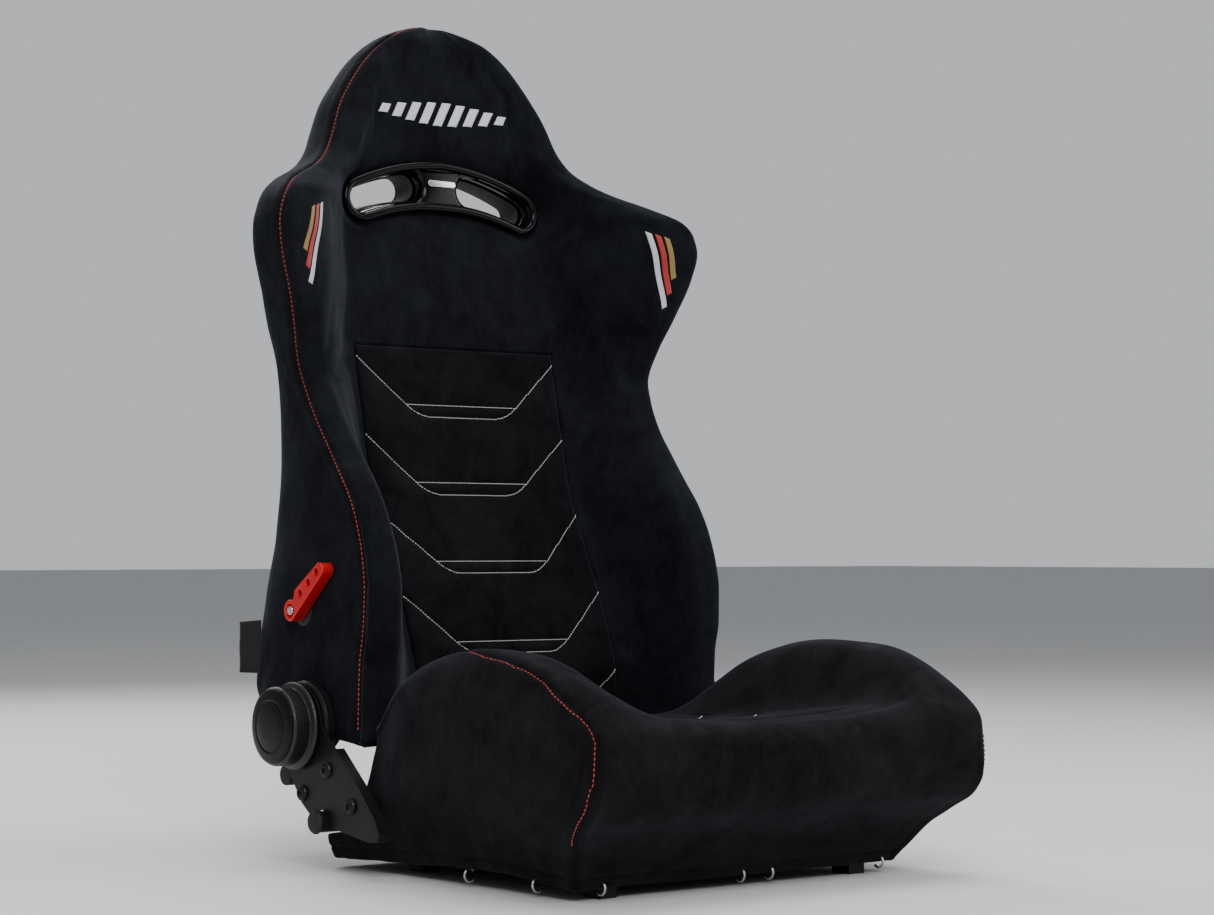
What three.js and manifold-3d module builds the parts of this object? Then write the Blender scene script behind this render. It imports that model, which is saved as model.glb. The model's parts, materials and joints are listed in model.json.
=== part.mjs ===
// Reclining racing seat: bolstered cushion, winged backrest with harness openings, recliner
// brackets with a handwheel on each side, and a release lever on the backrest.
//
// Millimetres. +Z is up, the occupant faces -Y, and +X is the occupant's left.
// The origin is the centre of the four mounting feet, on the plane that they rest on.

import * as THREE from "three";
import { mergeVertices } from "three/addons/utils/BufferGeometryUtils.js";
import Module from "manifold-3d";

const wasm = await Module();
wasm.setup();

// ---------------------------------------------------------------- driving dimensions

const GAP = 0.35; // clearance between neighbouring pieces

// recline axis, along X
const HINGE_Y = 234;
const HINGE_Z = 149;
const SIDE_SWEEP = 101; // radius that the lower backrest bolsters sweep about the axis
const CENTRE_SWEEP = 62; // radius that the middle of the backrest sweeps

// seat cushion
const CUSHION_FRONT = -254;
const CUSHION_REAR = 240;
const CUSHION_HALF = 259;
const CUSHION_EDGE = 16; // roundover along the crest
const SKIRT_TOP = 40; // top of the low rear part that passes under the backrest
const SKIRT_START = 160;
const PANEL_HALF = 137; // half-width of the centre panels
const PANEL_THICK = 20;

// backrest
const BACK_BOTTOM = 130;
const BACK_TOP = 927;
const BACK_CORNER = 30; // radius of the rear side corners
const PANEL_TOP = 557;
const PANEL_BOTTOM = 168;

// harness openings: a bar shape bent along an arc
const HARNESS_MID = 743; // height of the middle of the arc
const HARNESS_DROP = 22; // how far the arc falls at its ends
const HARNESS_REACH = 110; // half-length between the end centres
const HARNESS_RADIUS = 29; // half-height in the middle
const HARNESS_END_RADIUS = 25.5;
const RIM = 11; // width of the bezel's raised rim
const BRIDGE_HALF = 24; // half-width of the bridge between the two openings

// recliner, per side, as distances from the middle plane
const BRACKET_IN = 259.5;
const BRACKET_OUT = 262;
const RIM_DEPTH = 12;
const UNIT_IN = 243.5;
const UNIT_OUT = 258;
const UNIT_RADIUS = 47;
const WHEEL_IN = 266;
const WHEEL_OUT = 292;
const SHAFT_RADIUS = 6;

// seat frame, cross tube and mounting feet
const PAN_Z = 20;
const PAN_THICK = 3;
const RAIL_X = 190;
const TUBE_Y = 188;
const TUBE_Z = 53;
const TUBE_RADIUS = 11;
const FOOT_X = 164;
const FOOT_Y = 144;
const FOOT_HALF = [11, 13];
const FOOT_BOLT = 4.2;

// release lever, on the occupant's right
const LEVER_PIVOT = [255, 268];
const LEVER_TIP = [199, 313];
const LEVER_IN = 244.5;
const LEVER_OUT = 259;

// ---------------------------------------------------------------- finishes

const finish = (color, roughness, metalness) => ({ color, roughness, metalness });
const SUEDE = finish(0x1b1c20, 0.95, 0);
const PANEL_SUEDE = finish(0x1c1a19, 0.95, 0);
const BLACK_STEEL = finish(0x1c1d20, 0.4, 0.6);
const GLOSS_BLACK = finish(0x07080a, 0.12, 0);
const GRAINED = finish(0x16171a, 0.55, 0);
const RED_ANODISED = finish(0xb3141a, 0.35, 0.8);
const BRIGHT_STEEL = finish(0xb9bcc0, 0.3, 1);
const BADGE = finish(0xd9d9d9, 0.4, 0);
const TAG = finish(0x101114, 0.8, 0);

// Depths below are measured from the middle of the feet; the whole seat is then centred on its box.
const BOX_MIDDLE_Y = 76.63;
const seat = new THREE.Group();
seat.position.y = -BOX_MIDDLE_Y;

function addPiece(name, geometry, look) {
  const mesh = new THREE.Mesh(geometry, new THREE.MeshStandardMaterial(look));
  mesh.name = name;
  seat.add(mesh);
}

// ---------------------------------------------------------------- geometry helpers

// Smooth curve through [input, output] keys that never overshoots between two keys.
function curve(keys) {
  const n = keys.length;
  const slope = [];
  for (let i = 0; i < n - 1; i++) {
    slope.push((keys[i + 1][1] - keys[i][1]) / (keys[i + 1][0] - keys[i][0]));
  }
  const tangent = keys.map((_, i) => {
    if (i === 0) return slope[0];
    if (i === n - 1) return slope[n - 2];
    const [a, b] = [slope[i - 1], slope[i]];
    return a * b <= 0 ? 0 : (2 * a * b) / (a + b);
  });
  return (t) => {
    if (t <= keys[0][0]) return keys[0][1];
    if (t >= keys[n - 1][0]) return keys[n - 1][1];
    let i = 0;
    while (t > keys[i + 1][0]) i++;
    const span = keys[i + 1][0] - keys[i][0];
    const u = (t - keys[i][0]) / span;
    const [p, q] = [keys[i][1], keys[i + 1][1]];
    return (
      p * (1 + 2 * u) * (1 - u) ** 2 +
      q * u * u * (3 - 2 * u) +
      span * (tangent[i] * u * (1 - u) ** 2 - tangent[i + 1] * u * u * (1 - u))
    );
  };
}

const smooth = (t) => {
  const u = Math.min(1, Math.max(0, t));
  return u * u * (3 - 2 * u);
};

const mix = (a, b, t) => a + (b - a) * t;

function indexed(points, faces) {
  const geometry = new THREE.BufferGeometry();
  geometry.setAttribute("position", new THREE.Float32BufferAttribute(points.flat(), 3));
  geometry.setIndex(faces.flat());
  return geometry;
}

// Stack of rings that run counter-clockwise seen from the last ring's end. Each ring is
// symmetric about its first point. The ends are closed by strips from side to side, or from
// front to back on each half where the ring is hollow in front.
function ringStack(rings, hollowFront = false) {
  const count = rings[0].length;
  const middle = count / 2;
  const faces = [];
  for (let r = 0; r < rings.length - 1; r++) {
    for (let i = 0; i < count; i++) {
      const j = (i + 1) % count;
      const [a, b, c, d] = [r * count + i, r * count + j, (r + 1) * count + j, (r + 1) * count + i];
      faces.push([a, b, c], [a, c, d]);
    }
  }
  const last = (rings.length - 1) * count;
  const close = (a, b, c, d) => {
    faces.push([last + a, last + b, last + c], [last + a, last + c, last + d]);
    faces.push([a, c, b], [a, d, c]);
  };
  const mirror = (i) => (count - i) % count;
  if (hollowFront) {
    for (let i = 0; i < (middle - 1) / 2; i++) {
      const strip = [i, i + 1, middle - 1 - i, middle - i];
      close(...strip);
      close(...strip.reverse().map(mirror));
    }
  } else {
    for (let i = 0; i < middle; i++) close(i, i + 1, mirror(i + 1), mirror(i));
  }
  return indexed(rings.flat(), faces.filter(([a, b, c]) => a !== b && b !== c && a !== c));
}

// Sheet with an outer and an inner face over s and t in 0..1; the outer face looks along s cross t.
function sheet(columns, rows, outer, inner) {
  const points = [];
  for (const side of [outer, inner]) {
    for (let j = 0; j <= rows; j++) {
      for (let i = 0; i <= columns; i++) points.push(side(i / columns, j / rows));
    }
  }
  const half = (columns + 1) * (rows + 1);
  const at = (i, j) => j * (columns + 1) + i;
  const faces = [];
  const quad = (a, b, c, d) => faces.push([a, b, c], [a, c, d]);
  for (let j = 0; j < rows; j++) {
    for (let i = 0; i < columns; i++) {
      const [a, b, c, d] = [at(i, j), at(i + 1, j), at(i + 1, j + 1), at(i, j + 1)];
      quad(a, b, c, d);
      quad(half + a, half + d, half + c, half + b);
    }
  }
  const wall = (a, b) => quad(b, a, half + a, half + b);
  for (let i = 0; i < columns; i++) {
    wall(at(i, 0), at(i + 1, 0));
    wall(at(i + 1, rows), at(i, rows));
  }
  for (let j = 0; j < rows; j++) {
    wall(at(columns, j), at(columns, j + 1));
    wall(at(0, j + 1), at(0, j));
  }
  return indexed(points, faces);
}

function welded(geometry) {
  const bare = geometry.clone();
  bare.deleteAttribute("normal");
  bare.deleteAttribute("uv");
  return mergeVertices(bare, 1e-4);
}

function solid(geometry) {
  const bare = welded(geometry);
  return new wasm.Manifold(
    new wasm.Mesh({
      numProp: 3,
      vertProperties: new Float32Array(bare.attributes.position.array),
      triVerts: new Uint32Array(bare.index.array),
    }),
  );
}

function surface(manifold) {
  const mesh = manifold.getMesh();
  const geometry = new THREE.BufferGeometry();
  geometry.setAttribute("position", new THREE.BufferAttribute(mesh.vertProperties, 3));
  geometry.setIndex(new THREE.BufferAttribute(mesh.triVerts, 1));
  return geometry;
}

function cut(geometry, ...tools) {
  return surface(tools.reduce((body, tool) => body.subtract(solid(tool)), solid(geometry)));
}

function join(...pieces) {
  return surface(pieces.slice(1).reduce((body, piece) => body.add(solid(piece)), solid(pieces[0])));
}

function reshape(geometry, move) {
  const result = welded(geometry);
  const place = result.attributes.position;
  for (let i = 0; i < place.count; i++) {
    place.setXYZ(i, ...move(place.getX(i), place.getY(i), place.getZ(i)));
  }
  return result;
}

// The same piece on the other side of the middle plane, with its faces turned back outwards.
function mirrored(geometry) {
  const result = reshape(geometry, (x, y, z) => [-x, y, z]);
  const order = result.index.array;
  for (let i = 0; i < order.length; i += 3) [order[i], order[i + 1]] = [order[i + 1], order[i]];
  return result;
}

function shapeOf(points, holes = []) {
  const shape = new THREE.Shape(points.map(([u, v]) => new THREE.Vector2(u, v)));
  shape.holes = holes.map((hole) => new THREE.Path(hole.map(([u, v]) => new THREE.Vector2(u, v))));
  return shape;
}

const circle = (u, v, radius, count = 20) =>
  Array.from({ length: count }, (_, i) => {
    const angle = (i * 2 * Math.PI) / count;
    return [u + radius * Math.cos(angle), v + radius * Math.sin(angle)];
  });

const arc = (u, v, radius, from, to, steps) =>
  Array.from({ length: steps + 1 }, (_, i) => {
    const angle = THREE.MathUtils.degToRad(mix(from, to, i / steps));
    return [u + radius * Math.cos(angle), v + radius * Math.sin(angle)];
  });

// Flat piece whose outline is drawn in Y and Z, between two places along X.
function sidePlate(points, holes, x0, x1) {
  const flat = new THREE.ExtrudeGeometry(shapeOf(points, holes), { depth: x1 - x0, bevelEnabled: false });
  return reshape(flat, (u, v, w) => [x0 + w, u, v]);
}

// Flat piece whose outline is drawn in X and Y, between two heights.
function floorPlate(points, holes, z0, z1) {
  const flat = new THREE.ExtrudeGeometry(shapeOf(points, holes), { depth: z1 - z0, bevelEnabled: false });
  return flat.translate(0, 0, z0);
}

// Piece whose outline is drawn in X and Z, with front and back faces that follow two surfaces.
function frontPlate(points, holes, front, back) {
  const flat = new THREE.ExtrudeGeometry(shapeOf(points, holes), { depth: 1, bevelEnabled: false });
  return reshape(flat, (u, v, w) => [u, mix(back(u, v), front(u, v), w), v]);
}

// Turned piece about an axis along X through (y, z); the profile lists [radius, x].
function turned(profile, y, z, segments = 24) {
  const points = profile.map(([radius, x]) => new THREE.Vector2(radius, x));
  const lathe = new THREE.LatheGeometry(points, segments);
  return reshape(lathe, (u, v, w) => [v, y + w, z + u]);
}

const rod = (x0, x1, radius, y, z, segments = 20) =>
  turned([[0, x0], [radius, x0], [radius, x1], [0, x1]], y, z, segments);

function tube(points, radius, steps, sides = 10) {
  const path = new THREE.CatmullRomCurve3(points.map((p) => new THREE.Vector3(...p)));
  const ring = shapeOf(circle(0, 0, radius, sides));
  return new THREE.ExtrudeGeometry(ring, { extrudePath: path, steps, bevelEnabled: false });
}

// ---------------------------------------------------------------- backrest surfaces

// half-width of the backrest at each height
const backHalf = curve([
  [130, 240], [282, 238], [348, 236], [410, 234], [470, 235], [521, 239], [565, 250],
  [600, 263], [648, 281], [676, 286], [694, 282], [711, 271], [728, 244], [741, 213],
  [753, 189], [772, 167], [792, 155], [825, 141], [850, 125], [870, 110], [890, 91],
  [908, 66], [919, 42], [927, 14],
]);
// how far forward the outer seam stands
const backNose = curve([
  [130, 148], [217, 146], [250, 140], [290, 139], [315, 143], [348, 153], [381, 170],
  [410, 193], [440, 217], [470, 240], [500, 257], [530, 267], [565, 259], [600, 247],
  [648, 236], [676, 232], [697, 234], [711, 241], [728, 268], [742, 293], [753, 306],
  [772, 323], [792, 331], [850, 342], [927, 352],
]);
const backCentre = curve([
  [130, 210], [195, 200], [235, 211], [318, 247], [402, 285], [492, 306], [546, 318],
  [640, 333], [722, 344], [772, 346], [927, 352],
]);
// where the flat middle ends, and where the bolster crest begins
const backValley = curve([[130, 140], [560, 140], [640, 126], [740, 121], [772, 98], [850, 76], [927, 8]]);
const backCrest = curve([
  [130, 205], [400, 205], [470, 212], [540, 222], [600, 240], [660, 262], [700, 260],
  [725, 222], [753, 167], [792, 130], [850, 102], [927, 11],
]);
const rearSide = curve([
  [130, 348], [181, 366], [235, 360], [279, 350], [350, 334], [450, 325], [560, 326],
  [610, 316], [648, 306], [690, 298], [711, 305], [737, 340], [753, 368], [772, 385],
  [800, 396], [850, 400], [900, 400], [927, 400],
]);
const rearMiddle = curve([
  [130, 354], [181, 372], [235, 362], [300, 358], [400, 368], [500, 382], [600, 392],
  [700, 400], [800, 404], [880, 405], [927, 403],
]);

const TOP_ROUND = 24; // radius along the top edge of the headrest
function topRound(z) {
  const over = Math.max(0, z - (BACK_TOP - TOP_ROUND));
  return TOP_ROUND - Math.sqrt(TOP_ROUND ** 2 - over ** 2);
}

// how far the bolster crest stands forward of its seam; the lowest part is kept back, so that it
// clears the seat cushion when the backrest tips forward
const crestCrown = (z) => mix(1.5, 5, smooth((z - 180) / 80));

const HOLLOW = 4; // how far the middle of the back is dished between its edges
function backFrontAt(x, z) {
  const valley = backValley(z);
  const dish = backCentre(z) - HOLLOW * Math.min(1, Math.abs(x) / valley) ** 2;
  const crest = backNose(z) - 0.6 * crestCrown(z);
  const lift = mix(dish, crest, smooth((Math.abs(x) - valley) / (backCrest(z) - valley)));
  return lift + topRound(z);
}

function backRearAt(x, z) {
  const reach = Math.max(10, backHalf(z) - BACK_CORNER);
  const share = Math.min(1, Math.abs(x) / reach);
  return mix(rearMiddle(z), rearSide(z), share * share) - topRound(z);
}

// One horizontal section, counter-clockwise seen from above, starting at the middle of the front.
function backSection(z) {
  const half = backHalf(z);
  const valley = backValley(z);
  const crest = backCrest(z);
  const corner = Math.min(BACK_CORNER, half * 0.45);
  const nose = backNose(z) + topRound(z);
  const rear = backRearAt(half, z);
  const side = [[0, backFrontAt(0, z)]];
  for (const share of [0.4, 0.8, 1]) side.push([valley * share, backFrontAt(valley * share, z)]);
  for (const share of [0.2, 0.4, 0.6, 0.8, 1]) {
    const x = mix(valley, crest, share);
    side.push([x, backFrontAt(x, z)]);
  }
  const crown = crestCrown(z);
  side.push([mix(crest, half, 0.5), nose - crown], [mix(crest, half, 0.88), nose - 0.4 * crown]);
  side.push([half, nose + 4]);
  side.push([half + 1, mix(nose, rear - corner, 0.5)], [half, rear - corner]);
  side.push([half - corner * 0.3, rear - corner * 0.3]);
  for (const share of [1, 0.75, 0.5, 0.25]) {
    const x = (half - corner) * share;
    side.push([x, backRearAt(x, z)]);
  }
  side.push([0, backRearAt(0, z)]);
  const other = side.slice(1, -1).reverse().map(([x, y]) => [-x, y]);
  const tilt = 0.1 * smooth((220 - z) / 90); // the underside rises towards the rear
  return [...side, ...other].map(([x, y]) => [x, y, z + (y - 147) * tilt]);
}

function backHeights() {
  const heights = [];
  for (let z = BACK_BOTTOM; z < 580; z += 35) heights.push(z);
  for (let z = 608; z < 690; z += 24) heights.push(z);
  for (let z = 692; z < 780; z += 11) heights.push(z);
  for (let z = 800; z < 880; z += 25) heights.push(z);
  return [...heights, 892, 906, 917, 924, BACK_TOP - 0.5];
}

// ---------------------------------------------------------------- harness bezels and sleeves

// Outline of a bar bent along the arc, from one end centre to the other, inset from its edge.
function harnessOutline(from, to, inset) {
  const height = (x) => HARNESS_MID - HARNESS_DROP * (x / HARNESS_REACH) ** 2;
  const lean = (x) => Math.atan((-2 * HARNESS_DROP * x) / HARNESS_REACH ** 2);
  const radius = (x) => mix(HARNESS_RADIUS, HARNESS_END_RADIUS, Math.abs(x) / HARNESS_REACH) - inset;
  const steps = Math.max(4, Math.round(Math.abs(to - from) / 18));
  const outline = [];
  const stand = (x, turn) => {
    const angle = lean(x) + turn;
    outline.push([x + radius(x) * Math.cos(angle), height(x) + radius(x) * Math.sin(angle)]);
  };
  for (let i = 0; i <= steps; i++) stand(mix(from, to, i / steps), -Math.PI / 2);
  for (let i = 1; i < 6; i++) stand(to, -Math.PI / 2 + (i * Math.PI) / 6);
  for (let i = 0; i <= steps; i++) stand(mix(to, from, i / steps), Math.PI / 2);
  for (let i = 1; i < 6; i++) stand(from, Math.PI / 2 + (i * Math.PI) / 6);
  return outline;
}

const wholeHarness = (inset) => harnessOutline(-HARNESS_REACH, HARNESS_REACH, inset);

function harnessHole(side, inset) {
  const near = BRIDGE_HALF + HARNESS_RADIUS - RIM;
  const ends = side > 0 ? [near, HARNESS_REACH] : [-HARNESS_REACH, -near];
  return harnessOutline(...ends, RIM + inset);
}

const BEZEL_LEAN = 0.1; // how much the front bezel leans back per millimetre of height
const BEZEL_THICK = 16;
const REAR_COLLAR_Y = 362; // inner face of the rear bezel's collar
const PROUD = 4;
const bezelFront = (x, z) => backCentre(HARNESS_MID) + (z - HARNESS_MID) * BEZEL_LEAN - PROUD;
const bezelBack = (x, z) => bezelFront(x, z) + BEZEL_THICK;
const rearBezelOut = (x, z) => backRearAt(x, z) + PROUD;
const rearBezelIn = () => REAR_COLLAR_Y;
const shifted = (face, offset) => (x, z) => face(x, z) + offset;

function frontBezel() {
  const holes = [harnessHole(-1, 0), harnessHole(1, 0)];
  const plate = frontPlate(wholeHarness(0), holes, bezelFront, bezelBack);
  const dish = frontPlate(wholeHarness(RIM - 2), [], shifted(bezelFront, -5), shifted(bezelFront, 8));
  return cut(plate, dish);
}

function rearBezel() {
  const holes = [harnessHole(-1, 0), harnessHole(1, 0)];
  return frontPlate(wholeHarness(0), holes, rearBezelIn, rearBezelOut);
}

function sleeve(side) {
  const front = shifted(bezelBack, GAP);
  const back = shifted(rearBezelIn, -GAP);
  return frontPlate(harnessHole(side, -4), [harnessHole(side, 0)], front, back);
}

// ---------------------------------------------------------------- backrest pieces

function backPanel(grow) {
  const x = (s) => (2 * s - 1) * (PANEL_HALF + grow);
  const z = (t) => mix(PANEL_BOTTOM - grow, PANEL_TOP + grow, t);
  const proud = (s, t) => 4 * Math.sqrt(Math.max(0, 1 - (2 * s - 1) ** 4)) * Math.min(1, 12 * t, 12 * (1 - t));
  const outer = (s, t) => [x(s), backCentre(z(t)) - (grow ? 40 : proud(s, t)), z(t)];
  const inner = (s, t) => [x(s), backCentre(z(t)) + PANEL_THICK + grow, z(t)];
  return sheet(6, 14, outer, inner);
}

// Quilted or plain cover over the back, set into the foam.
const COVER_MARGIN = 34;
const COVER_THICK = 4;
function rearCover(grow) {
  const z = (t) => mix(165 - grow, 895 + grow, t);
  const x = (s, t) => (1 - 2 * s) * (backHalf(z(t)) - COVER_MARGIN + grow);
  const outer = (s, t) => [x(s, t), backRearAt(x(s, t), z(t)) + (grow ? 30 : 1), z(t)];
  const inner = (s, t) => [x(s, t), backRearAt(x(s, t), z(t)) - COVER_THICK - grow, z(t)];
  return sheet(8, 16, outer, inner);
}

// Tubular hoop with a plate around the recline axis at each foot, welded as one frame.
const HOOP_RADIUS = 10;
const PLATE_IN = 224;
const PLATE_OUT = 229;
function frameHoop(grow) {
  const half = [[216, 238, 190], [212, 262, 270], [208, 286, 400], [205, 295, 520], [202, 302, 620],
    [178, 323, 700], [146, 348, 745], [118, 363, 800], [90, 371, 842], [40, 374, 858]];
  const other = half.map(([x, y, z]) => [-x, y, z]).reverse();
  return tube([...half, ...other], HOOP_RADIUS + grow, 34, 8);
}

function framePlate(grow) {
  const turn = [HINGE_Y, HINGE_Z];
  const outline = [
    ...arc(...turn, 27 + grow, 150, 372, 10),
    [HINGE_Y + 36 + grow, 262 + grow],
    [HINGE_Y + 2 - grow, 262 + grow],
  ];
  return sidePlate(outline, [], PLATE_IN - grow, PLATE_OUT + grow);
}

function backFrame() {
  const bore = rod(-260, 260, SHAFT_RADIUS + 2, HINGE_Y, HINGE_Z);
  return cut(join(frameHoop(0), framePlate(0), mirrored(framePlate(0))), bore);
}

const UNIT_BOSS = 20;
function backCushion() {
  const shell = ringStack(backHeights().map(backSection), true);
  const pocket = shifted(bezelBack, GAP);
  const rearPocket = shifted(rearBezelIn, -GAP);
  const holes = [-1, 1].map((side) =>
    frontPlate(harnessHole(side, -4 - GAP), [], () => 200, () => 500));
  const boss = rod(PLATE_OUT - 2, 250, UNIT_BOSS + 1, HINGE_Y, HINGE_Z);
  return cut(
    shell,
    backPanel(GAP),
    rearCover(GAP),
    frontPlate(wholeHarness(-GAP), [], () => 200, pocket),
    frontPlate(wholeHarness(-GAP), [], rearPocket, () => 500),
    ...holes,
    frameHoop(GAP + 0.2),
    framePlate(GAP),
    mirrored(framePlate(GAP)),
    rod(-260, 260, SHAFT_RADIUS + 3, HINGE_Y, HINGE_Z),
    boss,
    mirrored(boss),
  );
}

function coverPanel() {
  const opening = frontPlate(wholeHarness(-GAP), [], shifted(rearBezelIn, -GAP), () => 500);
  return cut(rearCover(0), opening);
}

// ---------------------------------------------------------------- cushion surfaces

// crest height of the side bolsters and height of the sitting surface, by distance along Y
const cushionCrest = curve([
  [-254, 152], [-245, 166], [-232, 181], [-212, 195], [-182, 210], [-152, 223], [-116, 231],
  [-60, 233], [-17, 230], [20, 222], [51, 213], [82, 197], [113, 172], [145, 140], [175, 110],
]);
const sittingHeight = curve([[-254, 152], [-235, 160], [-200, 165], [-120, 159], [0, 149], [150, 142]]);
// half-width and front edge at each height
const cushionSide = curve([
  [8, 211], [30, 223], [52, 235], [66, 246], [86, 257], [110, 258], [150, 254], [200, 258], [235, 259],
]);
const cushionNose = curve([
  [8, -163], [30, -180], [51, -197], [66, -214], [84, -239], [104, -251], [130, -254], [235, -254],
]);
// lower edge along the side, and narrowing towards the rear
const hemHeight = curve([[-200, 10], [-165, 10], [-111, 14], [-54, 17], [0, 17], [115, 13], [240, 8]]);
const rearTaper = curve([[-150, 1], [0, 0.976], [80, 0.953], [130, 0.915], [240, 0.87]]);
const taperAt = (y, z) => mix(1, rearTaper(y), smooth((z - 20) / 60));

const BOWL_START = 136; // distance from the middle where the bolster begins to rise
const BOWL_END = 216;
const BOWL_DISH = 8; // how much the middle is dished before that
function cushionTop(x, y) {
  const out = Math.abs(x);
  const bowl = sittingHeight(y) + BOWL_DISH * Math.min(1, out / PANEL_HALF) ** 2;
  return mix(bowl, cushionCrest(y), smooth((out - BOWL_START) / (BOWL_END - BOWL_START)));
}

// Plan outline at an inset from its widest line, counter-clockwise from the middle of the front.
// Each point keeps its share of the way along the front, side or rear edge.
const PLAN_CORNER = 9;
function cushionPlan(half, front, rear, inset) {
  const w = half - inset;
  const f = front + inset;
  const r = PLAN_CORNER + inset * 0.4;
  const side = [];
  for (const share of [0, 0.25, 0.5, 0.72, 0.88]) side.push([share * (w - r), f]);
  side.push(...arc(w - r, f + r, r, -90, 0, 4));
  for (let i = 1; i <= 12; i++) side.push([w, mix(f + r, rear, i / 12)]);
  for (const share of [0.75, 0.5, 0.25, 0]) side.push([share * w, rear]);
  const other = side.slice(1, -1).reverse().map(([x, y]) => [-x, y]);
  return [...side, ...other];
}

function cushionShell() {
  const rings = [];
  const widest = cushionPlan(CUSHION_HALF, CUSHION_FRONT, CUSHION_REAR, 0);
  const topOf = ([x, y]) => {
    const inX = Math.sign(x) * Math.max(0, Math.abs(x) - CUSHION_EDGE);
    return cushionTop(inX, Math.max(y, CUSHION_FRONT + CUSHION_EDGE));
  };
  for (const share of [0, 0.12, 0.24, 0.36, 0.5, 0.68, 0.85, 1]) {
    const ring = widest.map(([x, y], i) => {
      const low = hemHeight(y);
      const z = mix(low, topOf([x, y]) - CUSHION_EDGE, share);
      const here = cushionPlan(cushionSide(z), cushionNose(z), CUSHION_REAR, 0)[i];
      return [here[0] * taperAt(here[1], z), here[1], z];
    });
    rings.push(ring);
  }
  for (const inset of [3, 8, CUSHION_EDGE, 34, 56, 80, 104, 126]) {
    const drop = Math.max(0, CUSHION_EDGE - inset);
    const plan = cushionPlan(CUSHION_HALF, CUSHION_FRONT, CUSHION_REAR, inset);
    const ring = plan.map(([x, y]) => {
      const round = CUSHION_EDGE - Math.sqrt(CUSHION_EDGE ** 2 - drop ** 2);
      const z = inset < CUSHION_EDGE ? topOf([x, y]) - round : cushionTop(x, y);
      return [x * taperAt(y, z), y, z];
    });
    rings.push(ring);
  }
  return ringStack(rings);
}

const SEAT_PANEL_FRONT = -176;
const SEAT_PANEL_REAR = 150;
function seatPanel(grow) {
  const x = (s) => (2 * s - 1) * (PANEL_HALF - 3 + grow);
  const y = (t) => mix(SEAT_PANEL_FRONT - grow, SEAT_PANEL_REAR + grow, t);
  const proud = (s, t) => 4 * Math.sqrt(Math.max(0, 1 - (2 * s - 1) ** 4)) * Math.min(1, 12 * t, 12 * (1 - t));
  const outer = (s, t) => [x(s), y(t), cushionTop(x(s), y(t)) + (grow ? 40 : proud(s, t))];
  const inner = (s, t) => [x(s), y(t), cushionTop(x(s), y(t)) - PANEL_THICK - grow];
  return sheet(6, 10, outer, inner);
}

// ---------------------------------------------------------------- seat frame and recliner

const RAIL_THICK = 4;
const RAIL_BOLT = [134, 72];
function railOutline(grow) {
  return [
    [40 - grow, PAN_Z - grow], [222 + grow, PAN_Z - grow], [222 + grow, 50 + grow],
    [203 + grow, 66 + grow], [172, 68 + grow], [150 + grow, 92 + grow], [118 - grow, 92 + grow],
    [70 - grow, 44 + grow], [40 - grow, 32 + grow],
  ];
}

function seatRail(grow) {
  return sidePlate(railOutline(grow), [], RAIL_X - grow, RAIL_X + RAIL_THICK + grow);
}

const PAN_FRONT = -158;
const PAN_REAR = 222;
function panOutline(grow) {
  const half = RAIL_X + RAIL_THICK + grow;
  const [front, rear] = [PAN_FRONT - grow, PAN_REAR + grow];
  return [[-half, front], [half, front], [half, rear], [-half, rear]];
}

function seatFrame() {
  const pan = floorPlate(panOutline(0), [], PAN_Z, PAN_Z + PAN_THICK);
  const tubeHole = rod(-280, 280, TUBE_RADIUS + GAP, TUBE_Y, TUBE_Z);
  const boltHole = rod(-280, 280, BOLT_SHANK + GAP, ...RAIL_BOLT);
  return cut(join(pan, seatRail(0), mirrored(seatRail(0))), tubeHole, boltHole);
}

function seatCushion() {
  const sweep = (x0, x1, radius) => rod(x0, x1, radius, HINGE_Y, HINGE_Z, 40);
  const side = sweep(PANEL_HALF, 300, SIDE_SWEEP);
  const rearTop = sidePlate(
    [[SKIRT_START, SKIRT_TOP], [CUSHION_REAR + 40, SKIRT_TOP], [CUSHION_REAR + 40, 300], [SKIRT_START, 300]],
    [], -300, 300);
  return cut(
    cushionShell(),
    sweep(-PANEL_HALF - 1, PANEL_HALF + 1, CENTRE_SWEEP),
    side,
    mirrored(side),
    rearTop,
    floorPlate(panOutline(GAP), [], -5, PAN_Z + PAN_THICK + GAP),
    seatRail(GAP),
    mirrored(seatRail(GAP)),
    seatPanel(GAP),
    rod(-280, 280, BOLT_SHANK + GAP, ...RAIL_BOLT),
    ...RING_PLACES.map((place) => hogRing(place, GAP)),
  );
}

function seatPanelPad() {
  return cut(seatPanel(0), rod(-300, 300, CENTRE_SWEEP, HINGE_Y, HINGE_Z, 40));
}

const BOLT_SHANK = 5;
const BOLT_HEAD = 8.5;
const UNIT_BOLTS = [[178, 106], [223, 80]];
function bracketOutline(inset) {
  const notch = TUBE_RADIUS + 1;
  return [
    ...arc(HINGE_Y, HINGE_Z, 44 - inset, -30, 178, 14),
    [121 + inset, 91 - inset * 0.6], [94 + inset, 64], [84 + inset * 1.2, 47 + inset * 0.6],
    [88 + inset * 0.6, 40 + inset], [101, 38 + inset], [170 - inset, 48 + inset],
    [TUBE_Y - notch - inset, 50 + inset],
    ...arc(TUBE_Y, TUBE_Z, notch + inset, 178, 14, 8),
    [206 + inset * 0.6, 56 + inset * 0.5], [226 - inset * 0.6, 70 + inset * 0.6], [251 - inset, 102],
  ];
}

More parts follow.
